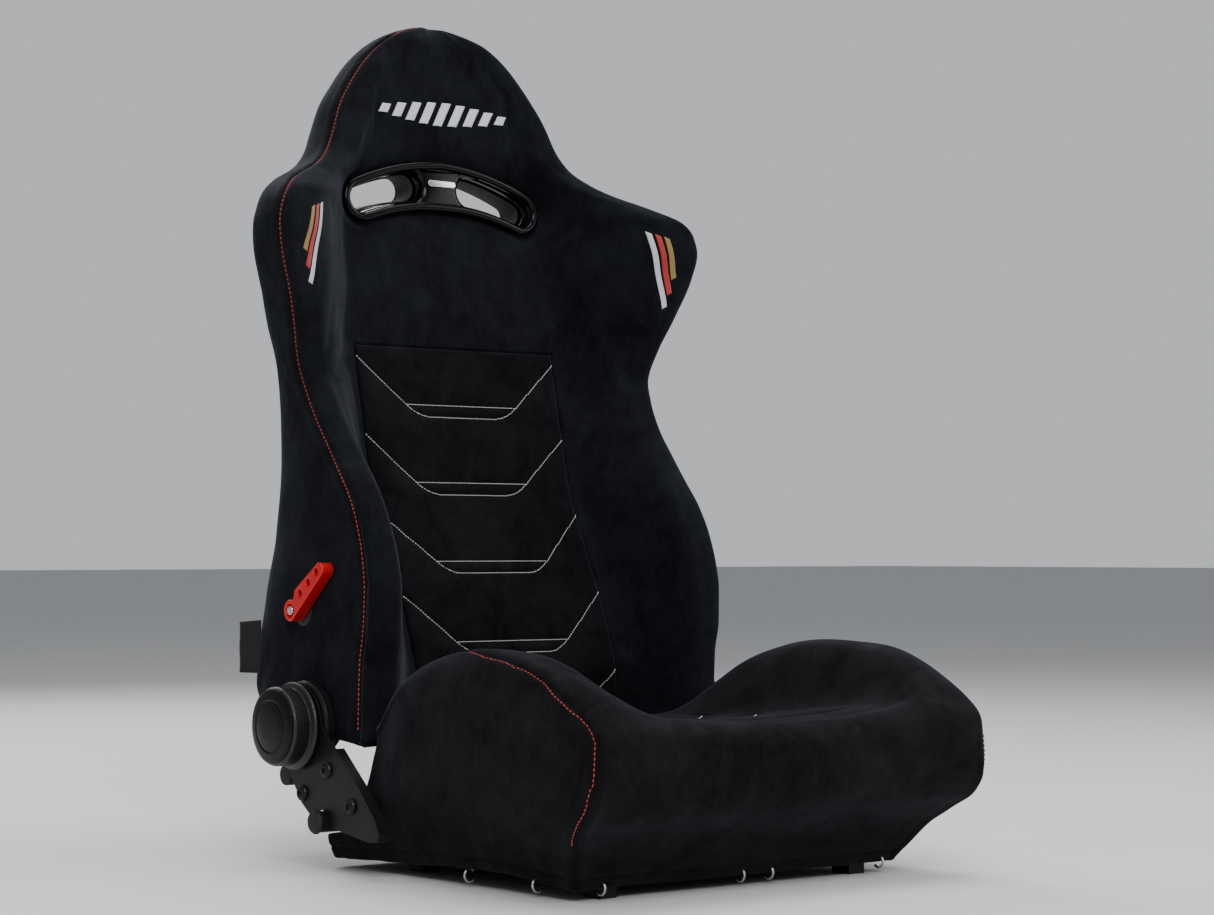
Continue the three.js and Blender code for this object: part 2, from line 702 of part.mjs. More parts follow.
function bracket() {
  const holes = [circle(HINGE_Y, HINGE_Z, SHAFT_RADIUS + 2)];
  for (const [y, z] of [...UNIT_BOLTS, RAIL_BOLT]) holes.push(circle(y, z, BOLT_SHANK + GAP, 14));
  const plate = sidePlate(bracketOutline(0), holes, BRACKET_IN, BRACKET_OUT);
  const band = cut(
    sidePlate(bracketOutline(0), [], BRACKET_OUT - RIM_DEPTH, BRACKET_IN + 0.5),
    sidePlate(bracketOutline(2.4), [], BRACKET_OUT - RIM_DEPTH - 5, BRACKET_IN + 1),
    rod(200, 300, UNIT_RADIUS + 6, HINGE_Y, HINGE_Z, 32),
    sidePlate([[165, 20], [300, 20], [300, 220], [165, 220]], [], 200, 300),
  );
  return join(plate, band);
}

// Button-head bolt along X: the head is outside, the shank points inwards.
function bolt(shankEnd, [y, z]) {
  const head = BRACKET_OUT + GAP;
  const profile = [
    [0, shankEnd], [BOLT_SHANK, shankEnd], [BOLT_SHANK, head], [BOLT_HEAD, head],
    [BOLT_HEAD, head + 1.2], [BOLT_HEAD * 0.85, head + 3.2], [BOLT_HEAD * 0.5, head + 4.4],
    [3, head + 4.6], [3, head + 2], [0, head + 2],
  ];
  return turned(profile, y, z, 12);
}

// Round recliner gear unit with a boss that enters the backrest, and a raised rear cover.
function reclinerUnit() {
  const bore = SHAFT_RADIUS + 0.5;
  return turned([
    [bore, PLATE_OUT + GAP], [UNIT_BOSS, PLATE_OUT + GAP], [UNIT_BOSS, UNIT_IN], [UNIT_RADIUS - 4, UNIT_IN],
    [UNIT_RADIUS, UNIT_IN + 3], [UNIT_RADIUS, UNIT_OUT - 3], [UNIT_RADIUS - 3, UNIT_OUT],
    [bore, UNIT_OUT], [bore, PLATE_OUT + GAP],
  ], HINGE_Y, HINGE_Z, 28);
}

const CAP_SEAT = 284;
const PLUG_RADIUS = 29;
function handwheel() {
  const bore = SHAFT_RADIUS + GAP;
  return turned([
    [bore, WHEEL_IN], [45.5, WHEEL_IN], [46, WHEEL_IN + 2], [42, WHEEL_IN + 7.5],
    [41, WHEEL_IN + 8.5], [41, WHEEL_OUT - 3], [39.5, WHEEL_OUT], [PLUG_RADIUS + GAP, WHEEL_OUT],
    [PLUG_RADIUS + GAP, CAP_SEAT], [bore, CAP_SEAT], [bore, WHEEL_IN],
  ], HINGE_Y, HINGE_Z, 30);
}

function wheelCap() {
  const face = WHEEL_OUT + GAP;
  return turned([
    [0, CAP_SEAT + GAP], [PLUG_RADIUS, CAP_SEAT + GAP], [PLUG_RADIUS, face], [39, face],
    [39, face + 0.8], [36, face + 2.4], [27, face + 3.8], [26, face + 3.2], [25, face + 4.1],
    [14, face + 5], [0, face + 5.4],
  ], HINGE_Y, HINGE_Z, 30);
}

function tubeCap() {
  const end = 268;
  return turned([
    [0, end + GAP], [TUBE_RADIUS + 1.5, end + GAP], [TUBE_RADIUS + 1.5, end + 2.5],
    [TUBE_RADIUS - 1, end + 5], [0, end + 6],
  ], TUBE_Y, TUBE_Z, 20);
}

// Rubber stop behind the bracket that the backrest arm meets.
function reclineStop() {
  return turned([
    [0, 246], [9, 246], [11, 248], [11, BRACKET_IN - GAP - 1], [9, BRACKET_IN - GAP], [0, BRACKET_IN - GAP],
  ], 263, 96, 18);
}

// ---------------------------------------------------------------- feet, rings, lever and tag

function foot(x, y) {
  const [w, l] = FOOT_HALF;
  const outline = [[x - w, y - l], [x + w, y - l], [x + w, y + l], [x - w, y + l]];
  return floorPlate(outline, [circle(x, y, FOOT_BOLT, 24)], 0, PAN_Z - GAP);
}

// Open wire rings that pin the lower hem, each with its gap facing inwards: x, y and heading.
const RING_PLACES = [
  [-181, -167, -90], [-5, -167, -90], [33, -167, -90], [185, -167, -90], [-212, -110, 180], [-213, -2, 180],
];
function hogRing([x, y, heading], grow) {
  const [radius, wire] = [6.5, 1.3 + grow];
  const turn = THREE.MathUtils.degToRad(heading);
  const path = new THREE.CatmullRomCurve3(Array.from({ length: 9 }, (_, i) => {
    const angle = THREE.MathUtils.degToRad(mix(-140, 140, i / 8));
    const out = radius * Math.cos(angle);
    return new THREE.Vector3(x + out * Math.cos(turn), y + out * Math.sin(turn), 12 + radius * Math.sin(angle));
  }));
  return new THREE.ExtrudeGeometry(shapeOf(circle(0, 0, wire, 6)),
    { extrudePath: path, steps: 12, bevelEnabled: false });
}

function leverOutline(grow) {
  const [[y0, z0], [y1, z1]] = [LEVER_PIVOT, LEVER_TIP];
  const heading = THREE.MathUtils.radToDeg(Math.atan2(z1 - z0, y1 - y0));
  return [
    ...arc(y0, z0, 13 + grow, heading + 96, heading + 264, 8),
    ...arc(y1, z1, 9.5 + grow, heading - 84, heading + 84, 8),
  ];
}

function releaseLever() {
  const holes = [0.36, 0.66, 0.94].map((share) =>
    circle(mix(LEVER_PIVOT[0], LEVER_TIP[0], share), mix(LEVER_PIVOT[1], LEVER_TIP[1], share), 4.2, 12));
  const body = sidePlate(leverOutline(-1.5), holes, LEVER_IN, LEVER_OUT);
  const band = sidePlate(leverOutline(0), holes, LEVER_IN + 1.5, LEVER_OUT - 1.5);
  return cut(join(body, band), rod(LEVER_IN - 5, LEVER_OUT + 5, 6, ...LEVER_PIVOT));
}

function leverScrew() {
  const [inside, head] = [LEVER_IN - 0.2, LEVER_OUT + GAP];
  return turned([
    [0, inside], [5.6, inside], [5.6, head], [8.5, head], [8.5, head + 1.5], [7, head + 2.6],
    [3, head + 2.8], [3, head + 1], [0, head + 1],
  ], ...LEVER_PIVOT, 18);
}

function escutcheon() {
  return turned([
    [0, 241.5], [17, 241.5], [17, 242.5], [14.5, 244], [0, 244],
  ], ...LEVER_PIVOT, 28);
}

function tabLabel() {
  return frontPlate([[-264, 200], [-237, 199], [-237, 254], [-264, 256]], [],
    (x, z) => 343.5, (x, z) => 345.5);
}

function badge() {
  const front = shifted(bezelFront, 8 - GAP - 1.2);
  const back = shifted(bezelFront, 8 - GAP);
  const z = HARNESS_MID + 3;
  return frontPlate([[-19, z - 4], [19, z - 4], [19, z + 4], [-19, z + 4]], [], front, back);
}

// ---------------------------------------------------------------- assembly

// base
addPiece("seat_cushion", seatCushion(), SUEDE);
addPiece("seat_panel", seatPanelPad(), PANEL_SUEDE);
addPiece("seat_frame", seatFrame(), BLACK_STEEL);
addPiece("cross_tube", rod(-268, 268, TUBE_RADIUS, TUBE_Y, TUBE_Z), BLACK_STEEL);
for (const [side, place] of [["left", (g) => g], ["right", mirrored]]) {
  addPiece(`bracket_${side}`, place(bracket()), BLACK_STEEL);
  addPiece(`bracket_bolt_${side}_1`, place(bolt(RAIL_X - 8, RAIL_BOLT)), BLACK_STEEL);
  addPiece(`bracket_bolt_${side}_2`, place(bolt(250, UNIT_BOLTS[0])), BLACK_STEEL);
  addPiece(`bracket_bolt_${side}_3`, place(bolt(250, UNIT_BOLTS[1])), BLACK_STEEL);
  addPiece(`tube_cap_${side}`, place(tubeCap()), BLACK_STEEL);
  addPiece(`recline_stop_${side}`, place(reclineStop()), GRAINED);
  addPiece(`recliner_unit_${side}`, place(reclinerUnit()), BLACK_STEEL);
  addPiece(`handwheel_${side}`, place(handwheel()), GRAINED);
  addPiece(`wheel_cap_${side}`, place(wheelCap()), GLOSS_BLACK);
  addPiece(`foot_front_${side}`, place(foot(FOOT_X, -FOOT_Y)), BLACK_STEEL);
  addPiece(`foot_rear_${side}`, place(foot(FOOT_X, FOOT_Y)), BLACK_STEEL);
}
RING_PLACES.forEach((place, i) => addPiece(`hog_ring_${i + 1}`, hogRing(place, 0), BRIGHT_STEEL));

// drive shaft
addPiece("sync_shaft", rod(-281, 281, SHAFT_RADIUS, HINGE_Y, HINGE_Z), BRIGHT_STEEL);

// backrest
addPiece("backrest_cushion", backCushion(), SUEDE);
addPiece("backrest_panel", surface(solid(backPanel(0))), PANEL_SUEDE);
addPiece("backrest_frame", backFrame(), BLACK_STEEL);
addPiece("rear_cover", coverPanel(), SUEDE);
addPiece("harness_bezel", frontBezel(), GLOSS_BLACK);
addPiece("harness_bezel_rear", rearBezel(), GLOSS_BLACK);
addPiece("harness_sleeve_left", sleeve(1), GRAINED);
addPiece("harness_sleeve_right", sleeve(-1), GRAINED);
addPiece("bezel_badge", badge(), BADGE);
addPiece("lever_escutcheon", mirrored(escutcheon()), GRAINED);
addPiece("tab_label", tabLabel(), TAG);

// lever
addPiece("release_lever", mirrored(releaseLever()), RED_ANODISED);
addPiece("lever_screw", mirrored(leverScrew()), BRIGHT_STEEL);

export default seat;
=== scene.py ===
"""Reclining racing seat in black suede: covers, seams, stitching, trims and finishes.

Shapes are worked out in millimetres about the middle of the feet, and turned into metres in
the frame when a mesh is made. +Z is up, the occupant faces -Y, and +X is the occupant's left.
"""

import json
import math
from contextlib import contextmanager

import bmesh
import bpy
import numpy as np
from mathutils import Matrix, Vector, noise
from mathutils.bvhtree import BVHTree


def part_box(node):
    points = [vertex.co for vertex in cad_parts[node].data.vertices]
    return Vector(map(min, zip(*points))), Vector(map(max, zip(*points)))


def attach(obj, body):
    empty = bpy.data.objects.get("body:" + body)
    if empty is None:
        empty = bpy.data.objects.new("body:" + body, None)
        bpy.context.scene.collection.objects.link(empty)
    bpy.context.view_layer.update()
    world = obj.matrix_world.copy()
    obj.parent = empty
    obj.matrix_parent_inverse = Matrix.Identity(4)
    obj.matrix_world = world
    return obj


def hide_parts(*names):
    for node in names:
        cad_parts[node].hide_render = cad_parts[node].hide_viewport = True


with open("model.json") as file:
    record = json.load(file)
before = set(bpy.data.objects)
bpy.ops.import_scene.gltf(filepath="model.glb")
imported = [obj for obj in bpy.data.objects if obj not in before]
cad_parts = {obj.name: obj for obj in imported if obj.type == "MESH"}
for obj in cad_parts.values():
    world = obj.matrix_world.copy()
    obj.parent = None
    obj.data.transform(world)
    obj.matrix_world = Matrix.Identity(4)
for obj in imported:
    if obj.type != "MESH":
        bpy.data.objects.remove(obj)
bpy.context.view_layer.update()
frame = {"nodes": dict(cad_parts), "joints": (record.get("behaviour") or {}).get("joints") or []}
MM = 0.001


# ------------------------------------------------------------------ sizes from the frame


FEET_Y = [corner[1] / MM for end in ("front", "rear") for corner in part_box(f"foot_{end}_left")]
ORIGIN = np.array((0, np.mean(FEET_Y), 0))


def to_frame(points):
    """Metres in the frame, from millimetres about the middle of the feet."""
    return (np.asarray(points, float) + ORIGIN) * MM


def from_frame(points):
    """Millimetres about the middle of the feet, from metres in the frame."""
    return np.asarray(points, float) / MM - ORIGIN


def node_box(node):
    low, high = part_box(node)
    return from_frame(low), from_frame(high)


def joint_place(name):
    joint = next(j for j in frame["joints"] if j["name"] == name)
    return from_frame(joint["pos_m"])


HINGE_Y, HINGE_Z = joint_place("recline")[1:]
LEVER_Y, LEVER_Z = joint_place("lever_pull")[1:]
SEAT_LOW, SEAT_HIGH = node_box("seat_cushion")
BACK_PANEL_LOW, BACK_PANEL_HIGH = node_box("backrest_panel")
SEAT_PANEL_LOW, SEAT_PANEL_HIGH = node_box("seat_panel")
BEZEL_HIGH = node_box("harness_bezel")[1]
REAR_BEZEL_HIGH = node_box("harness_bezel_rear")[1]
WHEEL_LOW, WHEEL_HIGH = node_box("handwheel_left")
CAP_HIGH = node_box("wheel_cap_left")[1]
LEVER_LOW, LEVER_HIGH = node_box("release_lever")

BACK_BOTTOM = 130
BACK_TOP = 927
BACK_CORNER = 15  # radius of the rear side corners
TOP_ROUND = 24  # radius along the top edge of the headrest
HOLLOW = 4  # dish of the middle of the back
PANEL_HALF = BACK_PANEL_HIGH[0]
PANEL_TOP = BACK_PANEL_HIGH[2]
PANEL_BOTTOM = BACK_PANEL_LOW[2]
POCKET = 6  # how deep the centre panels sit in their pockets
SEAM_ROLL = 4  # width over which an edge rolls into a seam

CUSHION_FRONT = SEAT_LOW[1]
CUSHION_HALF = SEAT_HIGH[0]
CUSHION_EDGE = 16  # roundover along the crest
PLAN_CORNER = 9
SKIRT_REAR = SEAT_HIGH[1]
SKIRT_TOP = 40
SIT_REAR = 160  # rear edge of the sitting surface
SIDE_SWEEP = 101  # radius that the lower backrest bolsters sweep about the hinge

HARNESS_REACH = 110  # half-length between the end centres of the harness opening
HARNESS_RADIUS = 29
HARNESS_END_RADIUS = 25.5
HARNESS_DROP = 22  # how far the ends lie below the middle
HARNESS_MID = BEZEL_HIGH[2] - HARNESS_RADIUS
RIM = 11  # width of the bezel around its openings
BRIDGE_HALF = 24  # half-width of the bridge between them
END_TURNS = 12

SIDES = ((1, "left"), (-1, "right"))


# ------------------------------------------------------------------ curves


def smooth(t):
    t = np.clip(t, 0, 1)
    return t * t * (3 - 2 * t)


def mix(a, b, t):
    return a + (b - a) * t


def ridge(distance, width):
    """1 on a line, falling off over a width to both sides."""
    return np.exp(-((distance / width) ** 2))


def edge_roll(to_edge, radius):
    """How far a rounded edge falls, by distance inside it."""
    return radius * (1 - np.sqrt(1 - np.clip(1 - to_edge / radius, 0, 1) ** 2))


def curve(keys):
    """Smooth curve through (input, output) keys that never overshoots between two keys."""
    xs, ys = np.array(keys, float).T
    span = np.diff(xs)
    slope = np.diff(ys) / span
    before, after = slope[:-1], slope[1:]
    total = np.where(before * after > 0, before + after, 1)
    inner = np.where(before * after > 0, 2 * before * after / total, 0)
    tangent = np.concatenate(([slope[0]], inner, [slope[-1]]))

    def at(t):
        t = np.clip(t, xs[0], xs[-1])
        i = np.clip(np.searchsorted(xs, t, side="right") - 1, 0, len(span) - 1)
        u = (t - xs[i]) / span[i]
        return (
            ys[i] * (1 + 2 * u) * (1 - u) ** 2
            + ys[i + 1] * u * u * (3 - 2 * u)
            + span[i] * (tangent[i] * u * (1 - u) ** 2 - tangent[i + 1] * u * u * (1 - u))
        )

    return at


# half-width of the backrest, how far forward its outer seam stands, and its middle line
back_half = curve([
    (130, 240), (282, 238), (348, 236), (410, 234), (470, 235), (521, 239), (565, 250),
    (600, 263), (648, 281), (676, 286), (694, 282), (711, 271), (728, 244), (741, 213),
    (753, 189), (772, 167), (792, 155), (825, 141), (850, 125), (870, 110), (890, 91),
    (908, 66), (919, 42), (927, 14),
])
back_nose = curve([
    (130, 148), (217, 146), (250, 140), (290, 139), (315, 143), (348, 153), (381, 170),
    (410, 193), (440, 217), (470, 240), (500, 257), (530, 267), (565, 259), (600, 247),
    (648, 236), (676, 232), (697, 234), (711, 241), (728, 268), (742, 293), (753, 306),
    (772, 323), (792, 331), (850, 342), (927, 352),
])
back_centre = curve([
    (130, 210), (195, 200), (235, 211), (318, 247), (402, 285), (492, 306), (546, 318),
    (640, 333), (722, 344), (772, 346), (927, 352),
])
# where the flat middle ends, and where the bolster crest begins
back_valley = curve([(130, 140), (560, 140), (640, 126), (740, 121), (772, 98), (850, 76), (927, 8)])
back_crest = curve([
    (130, 205), (400, 205), (470, 212), (540, 222), (600, 240), (660, 262), (700, 260),
    (725, 222), (753, 167), (792, 130), (850, 102), (927, 11),
])
rear_side = curve([
    (130, 348), (181, 366), (235, 360), (279, 350), (350, 334), (450, 325), (560, 326),
    (610, 316), (648, 306), (690, 298), (711, 305), (737, 340), (753, 368), (772, 385),
    (800, 396), (850, 400), (900, 400), (927, 400),
])
rear_middle = curve([
    (130, 354), (181, 372), (235, 362), (300, 358), (400, 368), (500, 382), (600, 392),
    (700, 400), (800, 404), (880, 405), (927, 403),
])


def top_round(z):
    over = np.clip(z - (BACK_TOP - TOP_ROUND), 0, TOP_ROUND)
    return TOP_ROUND - np.sqrt(TOP_ROUND**2 - over**2)


def crest_crown(z):
    return mix(1.5, 5, smooth((z - 180) / 80))


def back_front_at(x, z):
    valley = back_valley(z)
    dish = back_centre(z) - HOLLOW * np.minimum(1, np.abs(x) / valley) ** 2
    crest = back_nose(z) - 0.6 * crest_crown(z)
    lift = mix(dish, crest, smooth((np.abs(x) - valley) / (back_crest(z) - valley)))
    return lift + top_round(z)


def back_rear_at(x, z):
    reach = np.maximum(10, back_half(z) - BACK_CORNER)
    share = np.minimum(1, np.abs(x) / reach)
    return mix(rear_middle(z), rear_side(z), share * share) - top_round(z)


# cushion: crest of the side bolsters and sitting surface by distance along Y, then the
# half-width and front edge by height, the lower edge, and the narrowing towards the rear
cushion_crest = curve([
    (-254, 152), (-245, 166), (-232, 181), (-212, 195), (-182, 210), (-152, 223), (-116, 231),
    (-60, 233), (-17, 230), (20, 222), (51, 213), (82, 197), (113, 172), (145, 140), (175, 110),
])
sitting_height = curve([(-254, 152), (-235, 160), (-200, 165), (-120, 159), (0, 149), (150, 142)])
cushion_side = curve([
    (8, 211), (30, 223), (52, 235), (66, 246), (86, 257), (110, 258), (150, 254), (200, 258), (235, 259),
])
cushion_nose = curve([
    (8, -163), (30, -180), (51, -197), (66, -214), (84, -239), (104, -251), (130, -254), (235, -254),
])
hem_height = curve([(-200, 10), (-165, 10), (-111, 14), (-54, 17), (0, 17), (115, 13), (240, 8)])
rear_taper = curve([(-150, 1), (0, 0.976), (80, 0.953), (130, 0.915), (240, 0.87)])
BOWL_START = 136
BOWL_END = 216
BOWL_DISH = 8


def taper_at(y, z):
    return mix(1, rear_taper(y), smooth((z - 20) / 60))


def cushion_top(x, y):
    out = np.abs(x)
    bowl = sitting_height(y) + BOWL_DISH * np.minimum(1, out / PANEL_HALF) ** 2
    return mix(bowl, cushion_crest(y), smooth((out - BOWL_START) / (BOWL_END - BOWL_START)))


# ------------------------------------------------------------------ mesh tools


def linked(name, data):
    obj = bpy.data.objects.new(name, data)
    bpy.context.scene.collection.objects.link(obj)
    return obj


def piece(name, points, faces, finish, body, slot, replaces=()):
    """A smooth-shaded mesh of points in millimetres that rides on a body of the frame."""
    mesh = bpy.data.meshes.new(name)
    mesh.from_pydata(to_frame(points).tolist(), [], faces)
    mesh.update()
    mesh.shade_smooth()
    mesh.materials.append(finish)
    obj = linked(name, mesh)
    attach(obj, body)
    if replaces:
        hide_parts(*replaces)
    return obj


def place_of(obj):
    flat = np.empty(len(obj.data.vertices) * 3)
    obj.data.vertices.foreach_get("co", flat)
    return from_frame(flat.reshape(-1, 3))


def set_place(obj, points):
    obj.data.vertices.foreach_set("co", to_frame(points).ravel())
    obj.data.update()


def normals_of(obj):
    flat = np.empty(len(obj.data.vertices) * 3)
    obj.data.vertices.foreach_get("normal", flat)
    return flat.reshape(-1, 3)


def push(obj, amount):
    """Moves each point along its normal by an amount in millimetres."""
    set_place(obj, place_of(obj) + normals_of(obj) * np.asarray(amount).reshape(-1, 1))


def apply_modifiers(obj):
    graph = bpy.context.evaluated_depsgraph_get()
    old = obj.data
    obj.data = bpy.data.meshes.new_from_object(obj.evaluated_get(graph))
    obj.modifiers.clear()
    bpy.data.meshes.remove(old)


def modify(obj, kind, **settings):
    """Adds a modifier with its settings and applies it."""
    modifier = obj.modifiers.new("shape", kind)
    for name, value in settings.items():
        setattr(modifier, name, value)
    apply_modifiers(obj)


def soften(obj, weight, repeats):
    """Relaxes a mesh where the weight is above zero."""
    group = obj.vertex_groups.new(name="soft")
    levels = np.round(weight, 1)
    for level in np.unique(levels[levels > 0]):
        group.add(np.flatnonzero(levels == level).tolist(), float(level), "REPLACE")
    modify(obj, "SMOOTH", factor=0.5, iterations=repeats, vertex_group="soft")


def thicken(obj, thickness, offset=-1):
    modify(obj, "SOLIDIFY", thickness=thickness * MM, offset=offset)


@contextmanager
def edited(obj):
    """The mesh of an object as a bmesh, written back at the end."""
    grid = bmesh.new()
    grid.from_mesh(obj.data)
    yield grid
    grid.to_mesh(obj.data)
    grid.free()
    obj.data.update()


def close_ends(obj):
    with edited(obj) as grid:
        bmesh.ops.holes_fill(grid, edges=grid.edges, sides=0)


def turn_outwards(obj):
    with edited(obj) as grid:
        bmesh.ops.remove_doubles(grid, verts=grid.verts, dist=0.01 * MM)
        bmesh.ops.recalc_face_normals(grid, faces=grid.faces)


def closed_piece(*details):
    """A piece whose faces are turned to look outwards."""
    obj = piece(*details)
    turn_outwards(obj)
    return obj


def joined(parts):
    """One list of points and faces from several."""
    points, faces, base = [], [], 0
    for part_points, part_faces in parts:
        points.append(part_points)
        faces += [[base + v for v in face] for face in part_faces]
        base += len(part_points)
    return np.vstack(points), faces


def grid_of(across, down):
    """Every pair of two rows of values as two flat arrays, the first row running fastest."""
    return (values.ravel() for values in np.meshgrid(across, down))


def loft(rings, closed=True, start_cap=False, end_cap=False):
    """Points and faces of rings joined in order. A cap closes an end at its middle."""
    rings = np.asarray(rings, float)
    rows, count = rings.shape[:2]
    points = rings.reshape(-1, 3)
    i = np.arange(count if closed else count - 1)
    j = (i + 1) % count
    faces = []
    for row in range(rows - 1):
        low, high = row * count, (row + 1) * count
        faces += np.stack([low + i, low + j, high + j, high + i], 1).tolist()
    if start_cap:
        faces += [[len(points), b, a] for a, b in zip(i.tolist(), j.tolist())]
        points = np.vstack([points, rings[0].mean(0)])
    if end_cap:
        last = (rows - 1) * count
        faces += [[len(points), last + a, last + b] for a, b in zip(i.tolist(), j.tolist())]
        points = np.vstack([points, rings[-1].mean(0)])
    return points, faces


def sheet(points, columns):
    """Faces of a sheet of points in rows of the given length."""
    return loft(points.reshape(-1, columns, 3), closed=False)[1]


def noise_at(points, size, seed=0.0):
    """Smooth noise between about -1 and 1, with features of the given size in millimetres."""
    offset = Vector((seed * 7.1, seed * 3.3, seed * 5.7))
    return np.array([noise.noise(Vector(p) / size + offset) for p in points])


SWELL_FRAMES = 20
COVER_PRESSURE = 1.6
PAD_PRESSURE = 2.2
CLOTH = {
    "vertex_group_mass": "sewn", "quality": 4, "mass": 0.25, "tension_stiffness": 18,
    "compression_stiffness": 18, "bending_stiffness": 1.2, "use_pressure": True,
}


def inflate(obj, pinned, pressure, cap):
    """Swells a cover by cloth simulation. No point travels much further than the cap."""
    rest = place_of(obj)
    group = obj.vertex_groups.new(name="sewn")
    group.add(np.flatnonzero(pinned).tolist(), 1.0, "REPLACE")
    cloth = obj.modifiers.new("cloth", "CLOTH")
    for name, value in CLOTH.items():
        setattr(cloth.settings, name, value)
    cloth.settings.uniform_pressure_force = pressure
    cloth.settings.effector_weights.gravity = 0
    cloth.collision_settings.use_collision = False
    cloth.point_cache.frame_start = 1
    cloth.point_cache.frame_end = SWELL_FRAMES
    scene = bpy.context.scene
    for step in range(1, SWELL_FRAMES + 1):
        scene.frame_set(step)
    graph = bpy.context.evaluated_depsgraph_get()
    swollen = np.empty(len(rest) * 3)
    obj.evaluated_get(graph).data.vertices.foreach_get("co", swollen)
    travel = from_frame(swollen.reshape(-1, 3)) - rest
    length = np.maximum(np.linalg.norm(travel, axis=1), 1e-9)
    obj.modifiers.clear()
    obj.vertex_groups.clear()
    scene.frame_set(1)
    set_place(obj, rest + travel * (cap * np.tanh(length / cap) / length)[:, None])


def line_distance(points, path):
    """Distance from each point to a polyline, in as many dimensions as the points have."""
    points, path = np.asarray(points, float), np.asarray(path, float)
    best = np.full(len(points), np.inf)
    for start, end in zip(path[:-1], path[1:]):
        along = end - start
        share = np.clip((points - start) @ along / max(along @ along, 1e-9), 0, 1)
        best = np.minimum(best, np.linalg.norm(points - start - share[:, None] * along, axis=1))
    return best


def surface_of(obj):
    return BVHTree.FromObject(obj, bpy.context.evaluated_depsgraph_get())


def spaced(path, pitch):
    """Points at an even pitch along a polyline."""
    path = np.asarray(path, float)
    length = np.concatenate(([0], np.cumsum(np.linalg.norm(np.diff(path, axis=0), axis=1))))
    stops = np.arange(pitch / 2, length[-1], pitch)
    return np.stack([np.interp(stops, length, path[:, k]) for k in range(path.shape[1])], 1)


def on_surface(tree, points):
    """Nearest places and normals on a surface, in millimetres."""
    places, normals = [], []
    for point in points:
        place, normal, _, _ = tree.find_nearest(Vector(to_frame(point)))
        places.append(from_frame(place))
        normals.append(np.array(normal))
    return np.array(places), np.array(normals)


def softened(rows, reach):
    """Each row averaged with its neighbours along a path."""
    padded = np.concatenate([rows[:1].repeat(reach, 0), rows, rows[-1:].repeat(reach, 0)])
    window = np.ones(2 * reach + 1) / (2 * reach + 1)
    return np.stack([np.convolve(padded[:, k], window, "valid") for k in range(rows.shape[1])], 1)


STITCH_AROUND, STITCH_ALONG = 6, 5
SEAM_STITCH = (5.0, 3.6, 0.62)  # pitch, length and radius
QUILT_STITCH = (3.4, 2.5, 0.6)


def unit(rows):
    return rows / np.maximum(np.linalg.norm(rows, axis=1, keepdims=True), 1e-9)


def stitch_shape():
    """A short rounded grain of thread along X, from -1 to 1."""
    lean, turn = np.meshgrid(
        math.pi * (np.arange(STITCH_ALONG) + 0.5) / STITCH_ALONG,
        2 * math.pi * np.arange(STITCH_AROUND) / STITCH_AROUND, indexing="ij")
    rings = np.stack([-np.cos(lean), np.sin(lean) * np.cos(turn), np.sin(lean) * np.sin(turn)], 2)
    _, faces = loft(rings, start_cap=True, end_cap=True)
    return np.vstack([rings.reshape(-1, 3), (-1, 0, 0), (1, 0, 0)]), faces


def stitches(name, paths, tree, size, finish, body, slot="suede", shift=0.0, sink=0.25):
    """A row of thread stitches along each path, laid on a surface and moved sideways by shift."""
    pitch, length, radius = size
    shape, shape_faces = stitch_shape()
    shape = shape * (length / 2, radius, radius) + (0, 0, radius - sink)
    parts = []
    for path in paths:
        places, normals = on_surface(tree, spaced(path, pitch))
        if shift:
            side = unit(np.cross(softened(normals, 4), softened(np.gradient(places, axis=0), 2)))
            places, normals = on_surface(tree, softened(places + side * shift, 2))
        forward = unit(np.gradient(places, axis=0))
        side = unit(np.cross(normals, forward))
        up = np.cross(forward, side)
        parts += [(centre + shape @ axes, shape_faces)
                  for centre, axes in zip(places, np.stack([forward, side, up], 1))]
    return piece(name, *joined(parts), finish, body, slot)


def cord(name, path, radius, finish, body, slot):
    """A round cord along a closed path of points."""
    forward = unit(np.roll(path, -1, axis=0) - np.roll(path, 1, axis=0))
    side = unit(np.cross(forward, (0, 1, 0)))
    up = np.cross(side, forward)
    angle = np.linspace(0, 2 * math.pi, 10, endpoint=False)[:, None]
    rings = path[:, None] + radius * (np.cos(angle) * side[:, None] + np.sin(angle) * up[:, None])
    points, faces = loft(np.concatenate([rings, rings[:1]]))
    return piece(name, points, faces, finish, body, slot)


def rounded(profile, radius, steps=4):
    """The profile with each inner corner replaced by a small curve."""
    profile = [np.array(p, float) for p in profile]
    result = [profile[0]]
    for before, corner, after in zip(profile, profile[1:], profile[2:]):
        to_before, to_after = before - corner, after - corner
        cut = min(radius, np.linalg.norm(to_before) * 0.45, np.linalg.norm(to_after) * 0.45)
        start = corner + to_before / np.linalg.norm(to_before) * cut
        end = corner + to_after / np.linalg.norm(to_after) * cut
        for t in np.linspace(0, 1, steps + 1):
            result.append(start * (1 - t) ** 2 + corner * 2 * t * (1 - t) + end * t * t)
    return np.array(result + [profile[-1]])


def turned(profile, y, z, side=1, segments=96, wave=None):
    """Points and faces of a profile of (radius, x) turned about an axis along X."""
    angle = np.linspace(0, 2 * math.pi, segments, endpoint=False)
    rings = []
    for radius, x in profile:
        reach = wave(radius, angle) if wave else radius
        ring = [0 * angle + side * x, y + reach * np.cos(angle), z + reach * np.sin(angle)]
        rings.append(np.stack(ring, 1)[::side])
    return loft(rings, start_cap=True, end_cap=True)


